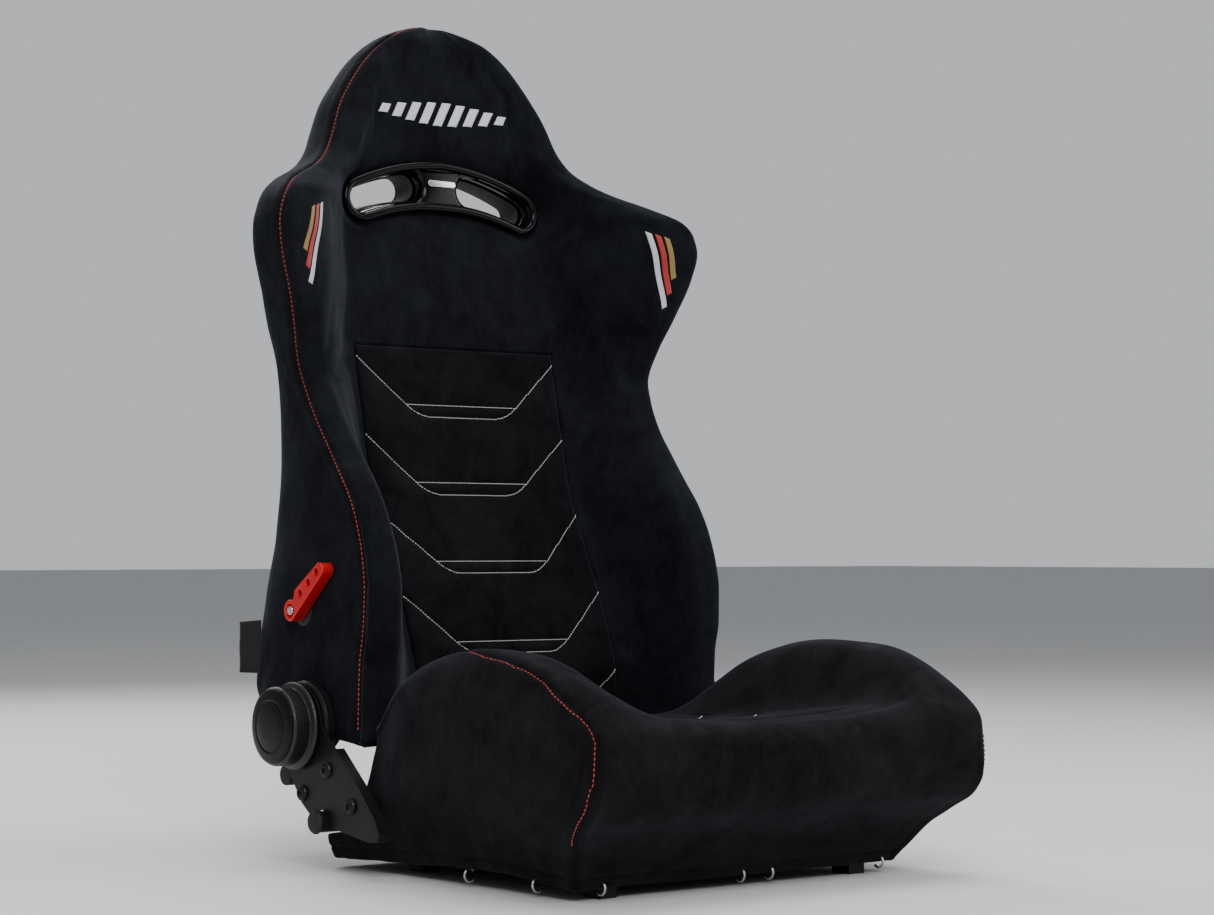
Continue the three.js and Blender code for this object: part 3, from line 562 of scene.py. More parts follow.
def plate(outline, holes, thickness, bevel, steps=3):
    """Flat plate with rounded edges from closed outlines: points (u, v, w) and faces, w from 0."""
    data = bpy.data.curves.new("plate", "CURVE")
    settings = {"dimensions": "2D", "fill_mode": "BOTH", "extrude": thickness / 2 - bevel,
                "bevel_depth": bevel, "bevel_resolution": steps, "offset": -bevel}
    for name, value in settings.items():
        setattr(data, name, value)
    for loop in [outline, *[hole[::-1] for hole in holes]]:
        spline = data.splines.new("POLY")
        spline.points.add(len(loop) - 1)
        for point, (u, v) in zip(spline.points, loop):
            point.co = (u, v, 0, 1)
        spline.use_cyclic_u = True
    obj = bpy.data.objects.new("plate", data)
    mesh = bpy.data.meshes.new_from_object(obj)
    points = np.array([vertex.co for vertex in mesh.vertices]) + (0, 0, thickness / 2)
    faces = [list(polygon.vertices) for polygon in mesh.polygons]
    bpy.data.objects.remove(obj)
    bpy.data.curves.remove(data)
    bpy.data.meshes.remove(mesh)
    return points, faces


def circle(u, v, radius):
    return arc(u, v, radius, 0, 360, 40)[:-1]


def arc(u, v, radius, start, end, steps):
    return [
        (u + radius * math.cos(math.radians(a)), v + radius * math.sin(math.radians(a)))
        for a in np.linspace(start, end, steps + 1)
    ]


# ------------------------------------------------------------------ finishes


class Finish:
    """A node material. node() adds a shader node and fills its inputs with values or sockets."""

    def __init__(self, name, **inputs):
        self.material = bpy.data.materials.new(name)
        self.material.use_nodes = True
        self.tree = self.material.node_tree
        self.shader = self.tree.nodes["Principled BSDF"]
        self.place = self.node("TexCoord").outputs["Object"]
        self.fill(self.shader, inputs)

    def fill(self, node, inputs):
        for name, value in inputs.items():
            label = name.replace("_", " ")
            if label not in node.inputs:
                setattr(node, name, value)
            elif isinstance(value, bpy.types.NodeSocket):
                self.tree.links.new(value, node.inputs[label])
            else:
                node.inputs[label].default_value = value

    def node(self, kind, **inputs):
        node = self.tree.nodes.new("ShaderNode" + kind)
        self.fill(node, inputs)
        return node

    def noise(self, scale, detail=2.0, rough=0.5, stretch=(1, 1, 1), twist=0.0):
        where = self.node("Mapping", Vector=self.place, Scale=stretch).outputs["Vector"]
        noise_node = self.node("TexNoise", Vector=where, Scale=scale, Detail=detail, Roughness=rough,
                               Distortion=twist)
        return noise_node.outputs["Fac"]

    def span(self, value, low, high, start=0.0, end=1.0):
        node = self.node("MapRange", Value=value, From_Min=low, From_Max=high, To_Min=start, To_Max=end)
        return node.outputs["Result"]

    def math(self, operation, *values, kind="Math"):
        node = self.node(kind, operation=operation)
        for socket, value in zip(node.inputs, values):
            if isinstance(value, bpy.types.NodeSocket):
                self.tree.links.new(value, socket)
            else:
                socket.default_value = value
        return node.outputs[0]

    def between(self, share, first, second):
        node = self.node("ValToRGB", Fac=share)
        node.color_ramp.elements[0].color = (*first, 1)
        node.color_ramp.elements[1].color = (*second, 1)
        return node.outputs["Color"]

    def bump(self, height, depth, strength=1.0):
        """Adds relief of the given depth in millimetres."""
        link = self.shader.inputs["Normal"]
        inputs = {"Height": height, "Distance": depth * MM, "Strength": strength}
        if link.is_linked:
            inputs["Normal"] = link.links[0].from_socket
        node = self.node("Bump", **inputs)
        self.tree.links.new(node.outputs["Normal"], link)

    def set(self, **inputs):
        self.fill(self.shader, inputs)


def shade(colour, share):
    return tuple(share * part for part in colour)


def suede(name, dark, light, sheen):
    """Microfibre suede: short nap that lies in soft patches, and a fine fibre grain. The patches are painted
    into the colour as lighter sheen, where light would catch the nap.
    """
    finish = Finish(name, Specular_IOR_Level=0.06, Sheen_Roughness=0.4)
    patches = finish.noise(17, 5, 0.62, twist=0.8)
    brushed = finish.noise(70, 4, 0.7, (1, 1, 0.45), 1.4)
    fibre = finish.noise(1500, 3, 0.7)
    nap = finish.math("MULTIPLY_ADD", patches, 0.6, finish.math("MULTIPLY", brushed, 0.4))
    nap = finish.span(nap, 0.36, 0.66)
    # painted sheen: the nap patches lighten the colour in place of light catching the nap, and the fibre
    # noise adds a little grain tone
    sheen_and_fibre_tone = finish.math("ADD", finish.math("MULTIPLY", nap, 0.7), finish.span(fibre, 0.3, 0.7, 0, 0.3))
    finish.set(
        Base_Color=finish.between(sheen_and_fibre_tone, dark, light),
        Roughness=finish.span(nap, 0, 1, 0.97, 0.86),
        Sheen_Weight=finish.span(sheen_and_fibre_tone, 0, 1, sheen * 0.45, sheen),
        Sheen_Tint=(0.55, 0.6, 0.72, 1),
    )
    finish.bump(fibre, 0.35, 0.55)
    finish.bump(finish.noise(420, 2, 0.5), 0.25, 0.35)
    finish.bump(brushed, 0.6, 0.25)
    return finish.material


def thread(name, colour, twist_scale=900):
    finish = Finish(name, Roughness=0.55, Specular_IOR_Level=0.35, Sheen_Weight=0.25)
    fuzz = finish.noise(twist_scale, 2, 0.6)
    finish.set(Base_Color=finish.between(fuzz, shade(colour, 0.55), colour))
    ply = finish.node("TexWave", Vector=finish.place, Scale=520, Distortion=2.0, bands_direction="DIAGONAL")
    finish.bump(ply.outputs["Fac"], 0.12, 0.7)
    return finish.material


def painted_steel(name, colour, roughness, peel=0.05):
    """Powder coat: slight orange peel, dust speckle and rubbed edges."""
    finish = Finish(name, Specular_IOR_Level=0.18)
    peel_map = finish.noise(650, 2, 0.5)
    cloud = finish.noise(30, 4, 0.6)
    edge = finish.node("NewGeometry").outputs["Pointiness"]
    worn = finish.span(finish.noise(140, 3, 0.7), 0.45, 0.7)
    rub = finish.math("MULTIPLY", finish.span(edge, 0.53, 0.6), worn)
    lighter = tuple(min(1, c * 3 + 0.03) for c in colour)
    finish.set(
        Base_Color=finish.between(finish.math("MULTIPLY", rub, 0.5), colour, lighter),
        Roughness=finish.span(cloud, 0.3, 0.7, roughness - 0.06, roughness + 0.08),
    )
    finish.bump(peel_map, peel, 0.6)
    return finish.material


def gloss_plastic(name, colour, roughness=0.12):
    """Polished moulding with faint smudges and hairline scuffs."""
    finish = Finish(name, Base_Color=(*colour, 1), Specular_IOR_Level=0.17)
    smudge = finish.noise(45, 4, 0.65, twist=0.6)
    scuff = finish.noise(500, 2, 0.5, (1, 14, 1))
    finish.set(Roughness=finish.span(smudge, 0.35, 0.75, roughness, roughness + 0.14))
    finish.bump(scuff, 0.01, 0.25)
    return finish.material


def grained_plastic(name, colour, cell, depth, roughness):
    """Moulded grain: rounded cells with fine valleys between them. The valleys are painted darker as shade.
    """
    finish = Finish(name, Specular_IOR_Level=0.45)
    warp = finish.noise(cell * 0.7, 2, 0.5)
    where = finish.math("ADD", finish.place, finish.math("MULTIPLY", warp, 0.6 / cell), kind="VectorMath")
    cells = finish.node("TexVoronoi", Vector=where, Scale=cell, feature="SMOOTH_F1", Smoothness=0.35)
    height = finish.span(cells.outputs["Distance"], 0.05, 0.75, 1, 0)
    # painted shade: the colour is darker in the valleys between the cells, where shade would fall
    finish.set(
        Base_Color=finish.between(height, shade(colour, 0.6), colour),
        Roughness=finish.span(height, 0, 1, roughness + 0.18, roughness),
    )
    finish.bump(height, depth, 0.9)
    return finish.material


def metal(name, colour, roughness, brush=(1, 1, 22), scale=260, metallic=1.0):
    """Machined or plated metal with a directional brush and cloudy handling marks."""
    finish = Finish(name, Metallic=metallic)
    lines = finish.noise(scale, 3, 0.6, brush)
    cloud = finish.noise(60, 3, 0.6)
    finish.set(
        Base_Color=finish.between(finish.span(lines, 0.25, 0.75), shade(colour, 0.82), colour),
        Roughness=finish.span(cloud, 0.3, 0.7, roughness - 0.05, roughness + 0.07),
    )
    finish.bump(lines, 0.02, 0.4)
    return finish.material


def woven(name, colour, pitch):
    """Plain weave of two thread directions. The gaps between the threads are painted darker as shade."""
    finish = Finish(name, Roughness=0.7, Sheen_Weight=0.2)
    warp = finish.node("TexWave", Vector=finish.place, Scale=pitch, bands_direction="X", Distortion=0.3)
    weft = finish.node("TexWave", Vector=finish.place, Scale=pitch, bands_direction="Z", Distortion=0.3)
    height = finish.math("MAXIMUM", warp.outputs["Fac"], weft.outputs["Fac"])
    # painted shade: the colour is darker in the gaps between the threads, where shade would fall
    finish.set(Base_Color=finish.between(height, shade(colour, 0.45), colour))
    finish.bump(height, 0.15, 0.8)
    return finish.material


# each suede runs from its dark colour to a lighter one, which carries the painted nap sheen
SUEDE = suede("suede_cover", (0.0014, 0.0017, 0.0024), (0.0100, 0.0114, 0.0146), 0.14)
PANEL_SUEDE = suede("suede_panel", (0.0012, 0.0012, 0.0015), (0.0080, 0.0083, 0.0094), 0.11)
SEAT_SUEDE = suede("suede_seat", (0.0016, 0.0016, 0.0018), (0.0112, 0.0112, 0.0120), 0.13)
RED_THREAD = thread("thread_red", (0.62, 0.02, 0.022))
LIGHT_THREAD = thread("thread_light", (0.78, 0.78, 0.78))
BLACK_THREAD = thread("thread_black", (0.012, 0.012, 0.013))
WHITE_THREAD = thread("thread_white", (0.82, 0.83, 0.85), 1400)
BLACK_STEEL = painted_steel("satin_black_steel", (0.0075, 0.0072, 0.0085), 0.36)
BLACK_BOLT = painted_steel("black_oxide_bolt", (0.012, 0.012, 0.013), 0.3, 0.02)
GLOSS_BLACK = gloss_plastic("gloss_black", (0.0022, 0.0025, 0.003), 0.13)
CAP_BLACK = gloss_plastic("cap_black", (0.005, 0.0042, 0.0046), 0.24)
GRAINED = grained_plastic("grained_rim", (0.010, 0.0105, 0.012), 620, 0.22, 0.26)
MOULDED = grained_plastic("moulded_black", (0.008, 0.008, 0.009), 1500, 0.06, 0.5)
SLEEVE = grained_plastic("sleeve_grey", (0.055, 0.056, 0.06), 900, 0.05, 0.5)
RED_METAL = metal("red_anodised", (0.84, 0.016, 0.018), 0.34, metallic=0.5)
BRIGHT_STEEL = metal("bright_steel", (0.62, 0.63, 0.65), 0.26, (1, 1, 1), 700)
BADGE_METAL = metal("badge_metal", (0.66, 0.67, 0.69), 0.24, (1, 1, 30), 300)
TAG_WEAVE = woven("tag_weave", (0.010, 0.0105, 0.012), 480)
WHITE_PRINT = thread("print_white", (0.72, 0.73, 0.75), 2000)
RED_PRINT = thread("print_red", (0.52, 0.02, 0.018), 2000)
GOLD_PRINT = thread("print_gold", (0.36, 0.22, 0.055), 2000)


# ------------------------------------------------------------------ harness opening outline


def harness_height(x):
    return HARNESS_MID - HARNESS_DROP * (x / HARNESS_REACH) ** 2


def harness_radius(x):
    return mix(HARNESS_RADIUS, HARNESS_END_RADIUS, np.minimum(1, np.abs(x) / HARNESS_REACH))


def harness_gap(x, z):
    """Distance outside the outline of the bezel; negative inside it."""
    near = np.clip(x, -HARNESS_REACH, HARNESS_REACH)
    lean = np.arctan(2 * HARNESS_DROP * near / HARNESS_REACH**2)
    across = np.hypot(x - near, (z - harness_height(near)) * np.cos(lean))
    return across - harness_radius(near)


def harness_outline(start, end, inset, steps=30):
    """Bar bent along the arc, from one end centre to the other, inset from its edge."""
    run = np.linspace(start, end, steps + 1)
    below, ends = -math.pi / 2, np.arange(1, END_TURNS) * math.pi / END_TURNS
    stands = [(x, below) for x in run] + [(end, below + turn) for turn in ends]
    stands += [(x, -below) for x in run[::-1]] + [(start, turn - below) for turn in ends]
    outline = []
    for x, turn in stands:
        angle = turn - math.atan(2 * HARNESS_DROP * x / HARNESS_REACH**2)
        radius = harness_radius(x) - inset
        outline.append((x + radius * math.cos(angle), harness_height(x) + radius * math.sin(angle)))
    return outline


def whole_harness(inset):
    return harness_outline(-HARNESS_REACH, HARNESS_REACH, inset)


def harness_hole(side, inset):
    near = BRIDGE_HALF + HARNESS_RADIUS - RIM
    ends = (near, HARNESS_REACH) if side > 0 else (-HARNESS_REACH, -near)
    return harness_outline(*ends, inset, 14)


# ------------------------------------------------------------------ backrest cover

FLAT_SHARES = np.concatenate((np.linspace(0, 0.945, 26), (0.957, 0.967, 0.9785, 0.99, 1)))
RISE_SHARES = np.linspace(0, 1, 22)[1:]
BROW_SHARES = np.linspace(0, 1, 15)[1:]
SIDE_SHARES = np.linspace(0, 1, 30)[1:] ** 1.25
CORNER_TURNS = np.radians(np.linspace(0, 90, 9)[1:])
REAR_SHARES = np.linspace(1, 0, 38)[1:]
SEAM_COLUMN = len(FLAT_SHARES) + len(RISE_SHARES) + len(BROW_SHARES) - 1
SEAM_STEP = 4  # the seam stands this far behind the nose
SIDE_BULGE = 2.5
BOTTOM_ROUND = 9


def back_ring(z):
    """One horizontal section, counter-clockwise from above, from the middle of the front."""
    half, valley, crest = back_half(z), back_valley(z), back_crest(z)
    corner = min(BACK_CORNER, half * 0.45)
    nose = back_nose(z) + top_round(z)
    rear = back_rear_at(half, z)
    crown = crest_crown(z)
    brow = curve([
        (crest, nose - 0.6 * crown), (mix(crest, half, 0.5), nose - crown),
        (mix(crest, half, 0.88), nose - 0.4 * crown), (half, nose + SEAM_STEP),
    ])
    front_x = np.concatenate((valley * FLAT_SHARES, mix(valley, crest, RISE_SHARES)))
    brow_x = mix(crest, half, np.sin(BROW_SHARES * math.pi / 2))
    side_y = mix(nose + SEAM_STEP, rear - corner, SIDE_SHARES)
    side_x = half + SIDE_BULGE * 4 * SIDE_SHARES * (1 - SIDE_SHARES)
    corner_x = half - corner * (1 - np.cos(CORNER_TURNS))
    corner_y = rear - corner * (1 - np.sin(CORNER_TURNS))
    rear_x = (half - corner) * REAR_SHARES
    x = np.concatenate((front_x, brow_x, side_x, corner_x, rear_x))
    y = np.concatenate((back_front_at(front_x, z), brow(brow_x), side_y, corner_y, back_rear_at(rear_x, z)))
    half_ring = np.stack([x, y], 1)
    rear = half_ring[SEAM_COLUMN + 3:]
    for _ in range(14):  # softens the rear corner
        rear[1:-1] += 0.25 * (rear[:-2] + rear[2:] - 2 * rear[1:-1])
    x, y = np.vstack([half_ring, half_ring[-2:0:-1] * (-1, 1)]).T
    tilt = 0.1 * smooth((220 - z) / 90)
    return np.stack([x, y, z + (y - 147) * tilt], 1)


def drawn_in(ring, share):
    """The ring drawn towards its middle in plan, at the same heights."""
    return mix(ring, ring.mean(0), share) * (1, 1, 0) + ring * (0, 0, 1)


def shrunk(ring, inset):
    """The ring moved inwards by an inset in plan."""
    along = np.roll(ring, -1, axis=0) - np.roll(ring, 1, axis=0)
    return ring + inset * unit(np.stack([-along[:, 1], along[:, 0], 0 * along[:, 0]], 1))


def back_rows():
    """Heights of the sections, closer together at the panel's borders and at the top."""
    borders = [z + step for z in (PANEL_BOTTOM, PANEL_TOP) for step in (-3, -1.5, 0, 1.5, 3)]
    even = [z for z in np.arange(BACK_BOTTOM + BOTTOM_ROUND + 4, 884, 4.4)
            if min(abs(z - b) for b in borders) > 2.2]
    top = BACK_TOP - 43 * (1 - np.sin(np.linspace(0, math.pi / 2, 20))) - 0.4
    return sorted(even + borders) + top.tolist()


def panel_pocket(x, z):
    """1 inside the border of the centre panel, 0 outside, rolling over at the border."""
    inside = np.minimum(PANEL_HALF - np.abs(x), np.minimum(z - PANEL_BOTTOM, PANEL_TOP - z))
    return smooth(inside / SEAM_ROLL + 0.5)


def build_back_cover():
    first = back_ring(BACK_BOTTOM + BOTTOM_ROUND)
    rings = []
    for turn in np.linspace(0, math.pi / 2, 6)[:-1]:
        ring = shrunk(first, BOTTOM_ROUND * (1 - math.sin(turn)))
        ring[:, 2] -= BOTTOM_ROUND * math.cos(turn)
        rings.append(ring)
    inside = [drawn_in(rings[0], share) for share in (0.6, 0.25)]
    rings = np.array([*inside, *rings, first, *(back_ring(z) for z in back_rows())])
    rows, columns = rings.shape[:2]
    points, faces = loft(rings, start_cap=True, end_cap=True)

    column = np.tile(np.arange(columns), rows)
    row = np.repeat(np.arange(rows), columns)
    on_front = np.zeros(len(points), bool)
    on_front[: rows * columns] = (column <= SEAM_COLUMN) | (column >= columns - SEAM_COLUMN)
    x, z = points[:, 0], points[:, 2]
    gap = harness_gap(x, z)
    pocket = panel_pocket(x, z) * (np.abs(x) < PANEL_HALF + SEAM_ROLL)
    points[:, 1] += np.where(on_front, POCKET * pocket, 0)
    tuck = 9 * smooth(1 - gap / 9)
    points[:, 1] += np.where(on_front, tuck, -0.7 * tuck) * (z > 600)

    opening = gap < -5
    keep = [face for face in faces if not all(opening[v] and 690 < z[v] < 790 for v in face)]
    cover = piece("backrest_cover", points, keep, SUEDE, "backrest", "suede", ["backrest_cushion"])

    seams = (SEAM_COLUMN, columns - SEAM_COLUMN)
    ring_points = points[: rows * columns].reshape(rows, columns, 3)
    step = np.linalg.norm(np.diff(ring_points, axis=1, append=ring_points[:, :1]), axis=2)
    travelled = np.cumsum(step, axis=1) - step
    beside = np.min([np.abs(travelled - travelled[:, s:s + 1]) for s in seams], axis=0)
    distance = np.full(len(points), 1e3)
    distance[: rows * columns] = beside.ravel()
    hidden = ~on_front & (np.abs(x) < back_half(z) - BACK_CORNER)
    sewn = (distance < 0.8) | (pocket > 0.02) | (gap < 4) | hidden
    sewn[: rows * columns] |= row < 8
    sewn[rows * columns:] = True
    inflate(cover, sewn, COVER_PRESSURE, 3.5)
    creases = 0.9 * noise_at(place_of(cover), 70, 1) + 0.35 * noise_at(place_of(cover), 26, 2)
    push(cover, creases * smooth(distance / 12) * smooth(gap / 12) * (1 - pocket))
    fade = smooth((BACK_TOP - 5 - z) / 16)
    push(cover, fade * (0.9 * ridge(distance - 8, 6) - 2.6 * ridge(distance, 1.9)))
    places = place_of(cover)[: rows * columns].reshape(rows, columns, 3)
    return cover, [softened(places[8:-2, s + beside], 2) for s, beside in zip(seams, (1, -1))]


# ------------------------------------------------------------------ quilting

QUILT_PITCH = 86.5
QUILT_FIRST = 12  # the first motif starts this far from the end of the panel
QUILT_DROP = 53
QUILT_FLAT = 66
QUILT_WIDE = 76
QUILT_NARROW = 46
PAD_PUFF = 3.2  # how far the padding stands up between two lines of quilting


def quilt_paths(half, length, count):
    """Topstitched motifs (across, down) from the top of a panel of the given length."""
    paths = []
    for k in range(count):
        start = QUILT_FIRST + k * QUILT_PITCH
        bend = np.array((QUILT_WIDE, start + QUILT_DROP))
        knee = np.array((QUILT_NARROW + 14, start + QUILT_FLAT))
        end = np.array((QUILT_NARROW, start + QUILT_FLAT))
        turn = [bend * (1 - t) ** 2 + knee * 2 * t * (1 - t) + end * t * t for t in np.linspace(0, 1, 8)]
        arm = [np.array((half, start)), *turn]
        loop = [(-x, v) for x, v in arm] + [(x, v) for x, v in reversed(arm)]
        for path in (loop, [(-QUILT_WIDE, bend[1]), (QUILT_WIDE, bend[1])]):
            path = np.array(path)
            if path[:, 1].min() < length - 4:
                paths.append(spaced(path, 2.0))
    return [path[path[:, 1] < length - 3] for path in paths]


def quilted_pad(name, half, length, count, place, finish, body, replaced):
    """Padded panel sewn down along its quilting. place(x, v, height) gives points."""
    across = np.linspace(-1, 1, 112) * (half - 0.8)
    x, v = grid_of(across, np.linspace(0.8, length - 0.8, int(length / 2.4)))
    paths = [path for path in quilt_paths(half, length, count) if len(path) > 8]
    to_line = np.min([line_distance(np.stack([x, v], 1), path[::4]) for path in paths], axis=0)
    to_edge = np.minimum(half - np.abs(x), np.minimum(v, length - v))
    roll = edge_roll(to_edge, 5.5)
    points = place(x, v, PAD_PUFF * (1 - np.exp(-to_line / 11)) * smooth(to_edge / 16) - roll)
    faces = [face[::-1] for face in sheet(points, len(across))]
    pad = piece(name, points, faces, finish, body, "panel_suede", replaced)
    inflate(pad, (to_line < 1.4) | (to_edge < 4), PAD_PRESSURE, 2)
    push(pad, 0.3 * noise_at(place_of(pad), 34, 5) * smooth(to_edge / 10))
    push(pad, -1.3 * ridge(to_line, 1.7))
    tree = surface_of(pad)
    lines = [place(path[:, 0], path[:, 1], 0 * path[:, 0]) for path in paths]
    thicken(pad, 2.5)
    quilting = name.replace("insert", "quilting")
    stitches(quilting, lines, tree, QUILT_STITCH, LIGHT_THREAD, body, "panel_suede")


def build_back_panel():
    def place(x, v, height):
        z = PANEL_TOP - v
        return np.stack([x, back_front_at(x, z) - height + 0.5, z], 1)

    quilted_pad("backrest_insert", PANEL_HALF, PANEL_TOP - PANEL_BOTTOM, 5, place, PANEL_SUEDE,
                "backrest", ["backrest_panel"])


def build_seat_panel():
    rear = SIT_REAR - 13

    def place(x, v, height):
        y = rear - v
        return np.stack([x, y, cushion_top(x / rear_taper(y), y) + height - 0.5], 1)

    quilted_pad("seat_insert", SEAT_PANEL_HIGH[0], rear - SEAT_PANEL_LOW[1], 3, place, SEAT_SUEDE,
                "base", ["seat_panel"])


# ------------------------------------------------------------------ seat cover

# the right half of the plan outline, from the middle of the front to the middle of the rear:
# front edge, front corner, side, rear edge
PLAN_RUNS = (
    np.linspace(0, 1, 46)[:-1], np.radians(np.linspace(-90, 0, 9)),
    np.linspace(0, 1, 84)[1:], np.linspace(1, 0, 40)[1:],
)
PLAN_SHARE = np.concatenate(PLAN_RUNS)
PLAN_COUNT = len(PLAN_SHARE)
RUN = np.repeat(range(4), [len(run) for run in PLAN_RUNS])
ON_FRONT, ON_CORNER, ON_SIDE, ON_REAR = (RUN == k for k in range(4))
REAR_ROUND = 0.4  # the rear top edge is rounder by this share of the inset
WALL_ROWS = 62
TOP_ROWS = 46


def seat_rear(x, z):
    """Rear edge: a skirt under the backrest, then a wall hollowed for the backrest's sweep."""
    reach = np.sqrt(np.maximum(SIDE_SWEEP**2 - (z - HINGE_Z) ** 2, 0))
    side = np.minimum(SIT_REAR, HINGE_Y - reach)
    wall = mix(SIT_REAR, side, smooth((np.abs(x) - 112) / 25))
    return mix(SKIRT_REAR, wall, smooth((z - SKIRT_TOP + 5) / 7))


def plan_half(half, front, inset, z):
    """Right half of the plan outline; half, front and z hold one value for each point."""
    wide, nose = half - inset, front + inset
    corner = PLAN_CORNER + inset * 0.4
    x = np.select(
        [ON_FRONT, ON_CORNER, ON_SIDE],
        [PLAN_SHARE * (wide - corner), wide - corner + corner * np.cos(PLAN_SHARE), wide], wide * PLAN_SHARE)
    rear = seat_rear(x, z) - REAR_ROUND * inset
    y = np.select(
        [ON_FRONT, ON_CORNER, ON_SIDE],
        [nose, nose + corner + corner * np.sin(PLAN_SHARE), mix(nose + corner, rear, PLAN_SHARE)], rear)
    return x, y


def seat_crest(x, y):
    inner = np.maximum(0, x - CUSHION_EDGE)
    limit = seat_rear(x, 150) - CUSHION_EDGE * REAR_ROUND
    return cushion_top(inner, np.clip(y, CUSHION_FRONT + CUSHION_EDGE, limit))


def whole_ring(x, y, z):
    half = np.stack([x, y, z], 1)
    return np.vstack([half, half[-2:0:-1] * (-1, 1, 1)])


def tapered_ring(x, y, z):
    return whole_ring(x * taper_at(y, z), y, z)


def wall_ring(share):
    z = np.full(PLAN_COUNT, mix(12.0, 150.0, share))
    for _ in range(8):
        x, y = plan_half(cushion_side(z), cushion_nose(z), 0, z)
        widest = plan_half(np.full(PLAN_COUNT, CUSHION_HALF), CUSHION_FRONT, 0, z)
        z = 0.5 * z + 0.5 * mix(hem_height(y), seat_crest(*widest) - CUSHION_EDGE, share)
    return tapered_ring(x, y, z)


def build_seat_cover():
    rings = [wall_ring(share) for share in np.linspace(0, 1, WALL_ROWS)]
    halves = np.full(PLAN_COUNT, CUSHION_HALF)
    for turn in np.linspace(0, math.pi / 2, 9)[1:]:
        x, y = plan_half(halves, CUSHION_FRONT, CUSHION_EDGE * (1 - math.cos(turn)), 150)
        rings.append(tapered_ring(x, y, seat_crest(x, y) - CUSHION_EDGE * (1 - math.sin(turn))))

    edge_x, edge_y = plan_half(halves, CUSHION_FRONT, CUSHION_EDGE, 150)
    border_half, border_front, border_rear = SEAT_PANEL_HIGH[0], SEAT_PANEL_LOW[1], SIT_REAR - 12
    inner_y = np.select([ON_FRONT | ON_CORNER, ON_REAR], [border_front, border_rear],
                        mix(border_front, border_rear, PLAN_SHARE))
    inner_x = np.where(ON_FRONT | ON_REAR, PLAN_SHARE, 1) * border_half / rear_taper(inner_y)
    for share in (*np.linspace(0, 0.96, TOP_ROWS)[1:], 0.975, 0.99, 1, 1.012):
        x, y = mix(edge_x, inner_x, share), mix(edge_y, inner_y, share)
        depth = POCKET if share > 1 else POCKET * 0.5 if share == 1 else 0
        rings.append(tapered_ring(x, y, cushion_top(x, y) - depth))
    for share in (0.3, 0.6, 0.9):
        x, y = inner_x * (1 - share), mix(inner_y, (border_front + border_rear) / 2, share)
        rings.append(whole_ring(x, y, cushion_top(x, y) - POCKET))
    for share in (0.3, 0.9):
        rings.insert(0, drawn_in(rings[0], share))
    rows, columns = len(rings), len(rings[0])
    points, faces = loft(rings)
    cover = piece("seat_cover", points, faces, SEAT_SUEDE, "base", "suede", ["seat_cushion"])
    row = np.repeat(np.arange(rows), columns)
    at_rear = points[:, 1] > seat_rear(points[:, 0], points[:, 2]) - 8
    inflate(cover, (row < 6) | (row > rows - 8) | at_rear, COVER_PRESSURE, 3.5)
    crest_row = WALL_ROWS + 6
    from_crest = np.where(row < crest_row, (crest_row - row) * 2.2, (row - crest_row) * 2.8)
    near_crest = smooth(1.5 - from_crest / 40) * smooth((90 - points[:, 1]) / 60)
    soften(cover, near_crest, 110)
    push(cover, 3.2 * near_crest)
    modify(cover, "SUBSURF", levels=1, subdivision_type="CATMULL_CLARK", boundary_smooth="ALL")
    close_ends(cover)
    return cover


TUCK_HALF = 128


def build_rear_tuck():
    """Cloth gusset from the sitting surface up to the backrest, then down to the skirt behind it."""
    section = [(154, 132), (164, 127), (175, 127), (185, 134), (192, 142), (197, 144), (201, 135), (206, 118),
               (221, 114), (234, 121), (241, 115), (242, 42)]
    depth, height = (curve(list(enumerate(values))) for values in zip(*section))
    across = np.linspace(-TUCK_HALF, TUCK_HALF, 60)
    x, t = grid_of(across, np.linspace(0, len(section) - 1, 96))
    sag = 12 * smooth((np.abs(x) - TUCK_HALF + 32) / 32)
    points = np.stack([x, depth(t), height(t) - sag], 1)
    points += 0.8 * noise_at(points, 30, 11)[:, None] * (0, 0.4, 1)
    tuck = piece("rear_tuck", points, sheet(points, len(across)), SEAT_SUEDE, "base", "suede")
    thicken(tuck, 2, 0)


def seat_seam(side):
    """Curve of the red seam: along the crest of the bolster, then down the front corner."""
    along = [(205, 122), (214, 90), (221, 40), (228, -13), (240, -42), (251, -80), (256, -116)]
    crest = [(x, y, cushion_top(min(x, BOWL_END), y)) for x, y in along]
    corner = [(257, -152, 221), (258, -182, 209), (258, -212, 194), (256, -232, 180), (252, -245, 165),
              (251, -251, 151), (253, -253, 135), (256, -253, 118), (258, -248, 102), (256, -235, 82),
              (249, -213, 65), (242, -204, 58), (234, -197, 51)]
    keys = np.array(crest + corner, float) * (side, 1, 1)
    fine = np.linspace(0, len(keys) - 1, 160)
    return np.stack([curve(list(enumerate(values)))(fine) for values in keys.T], 1)


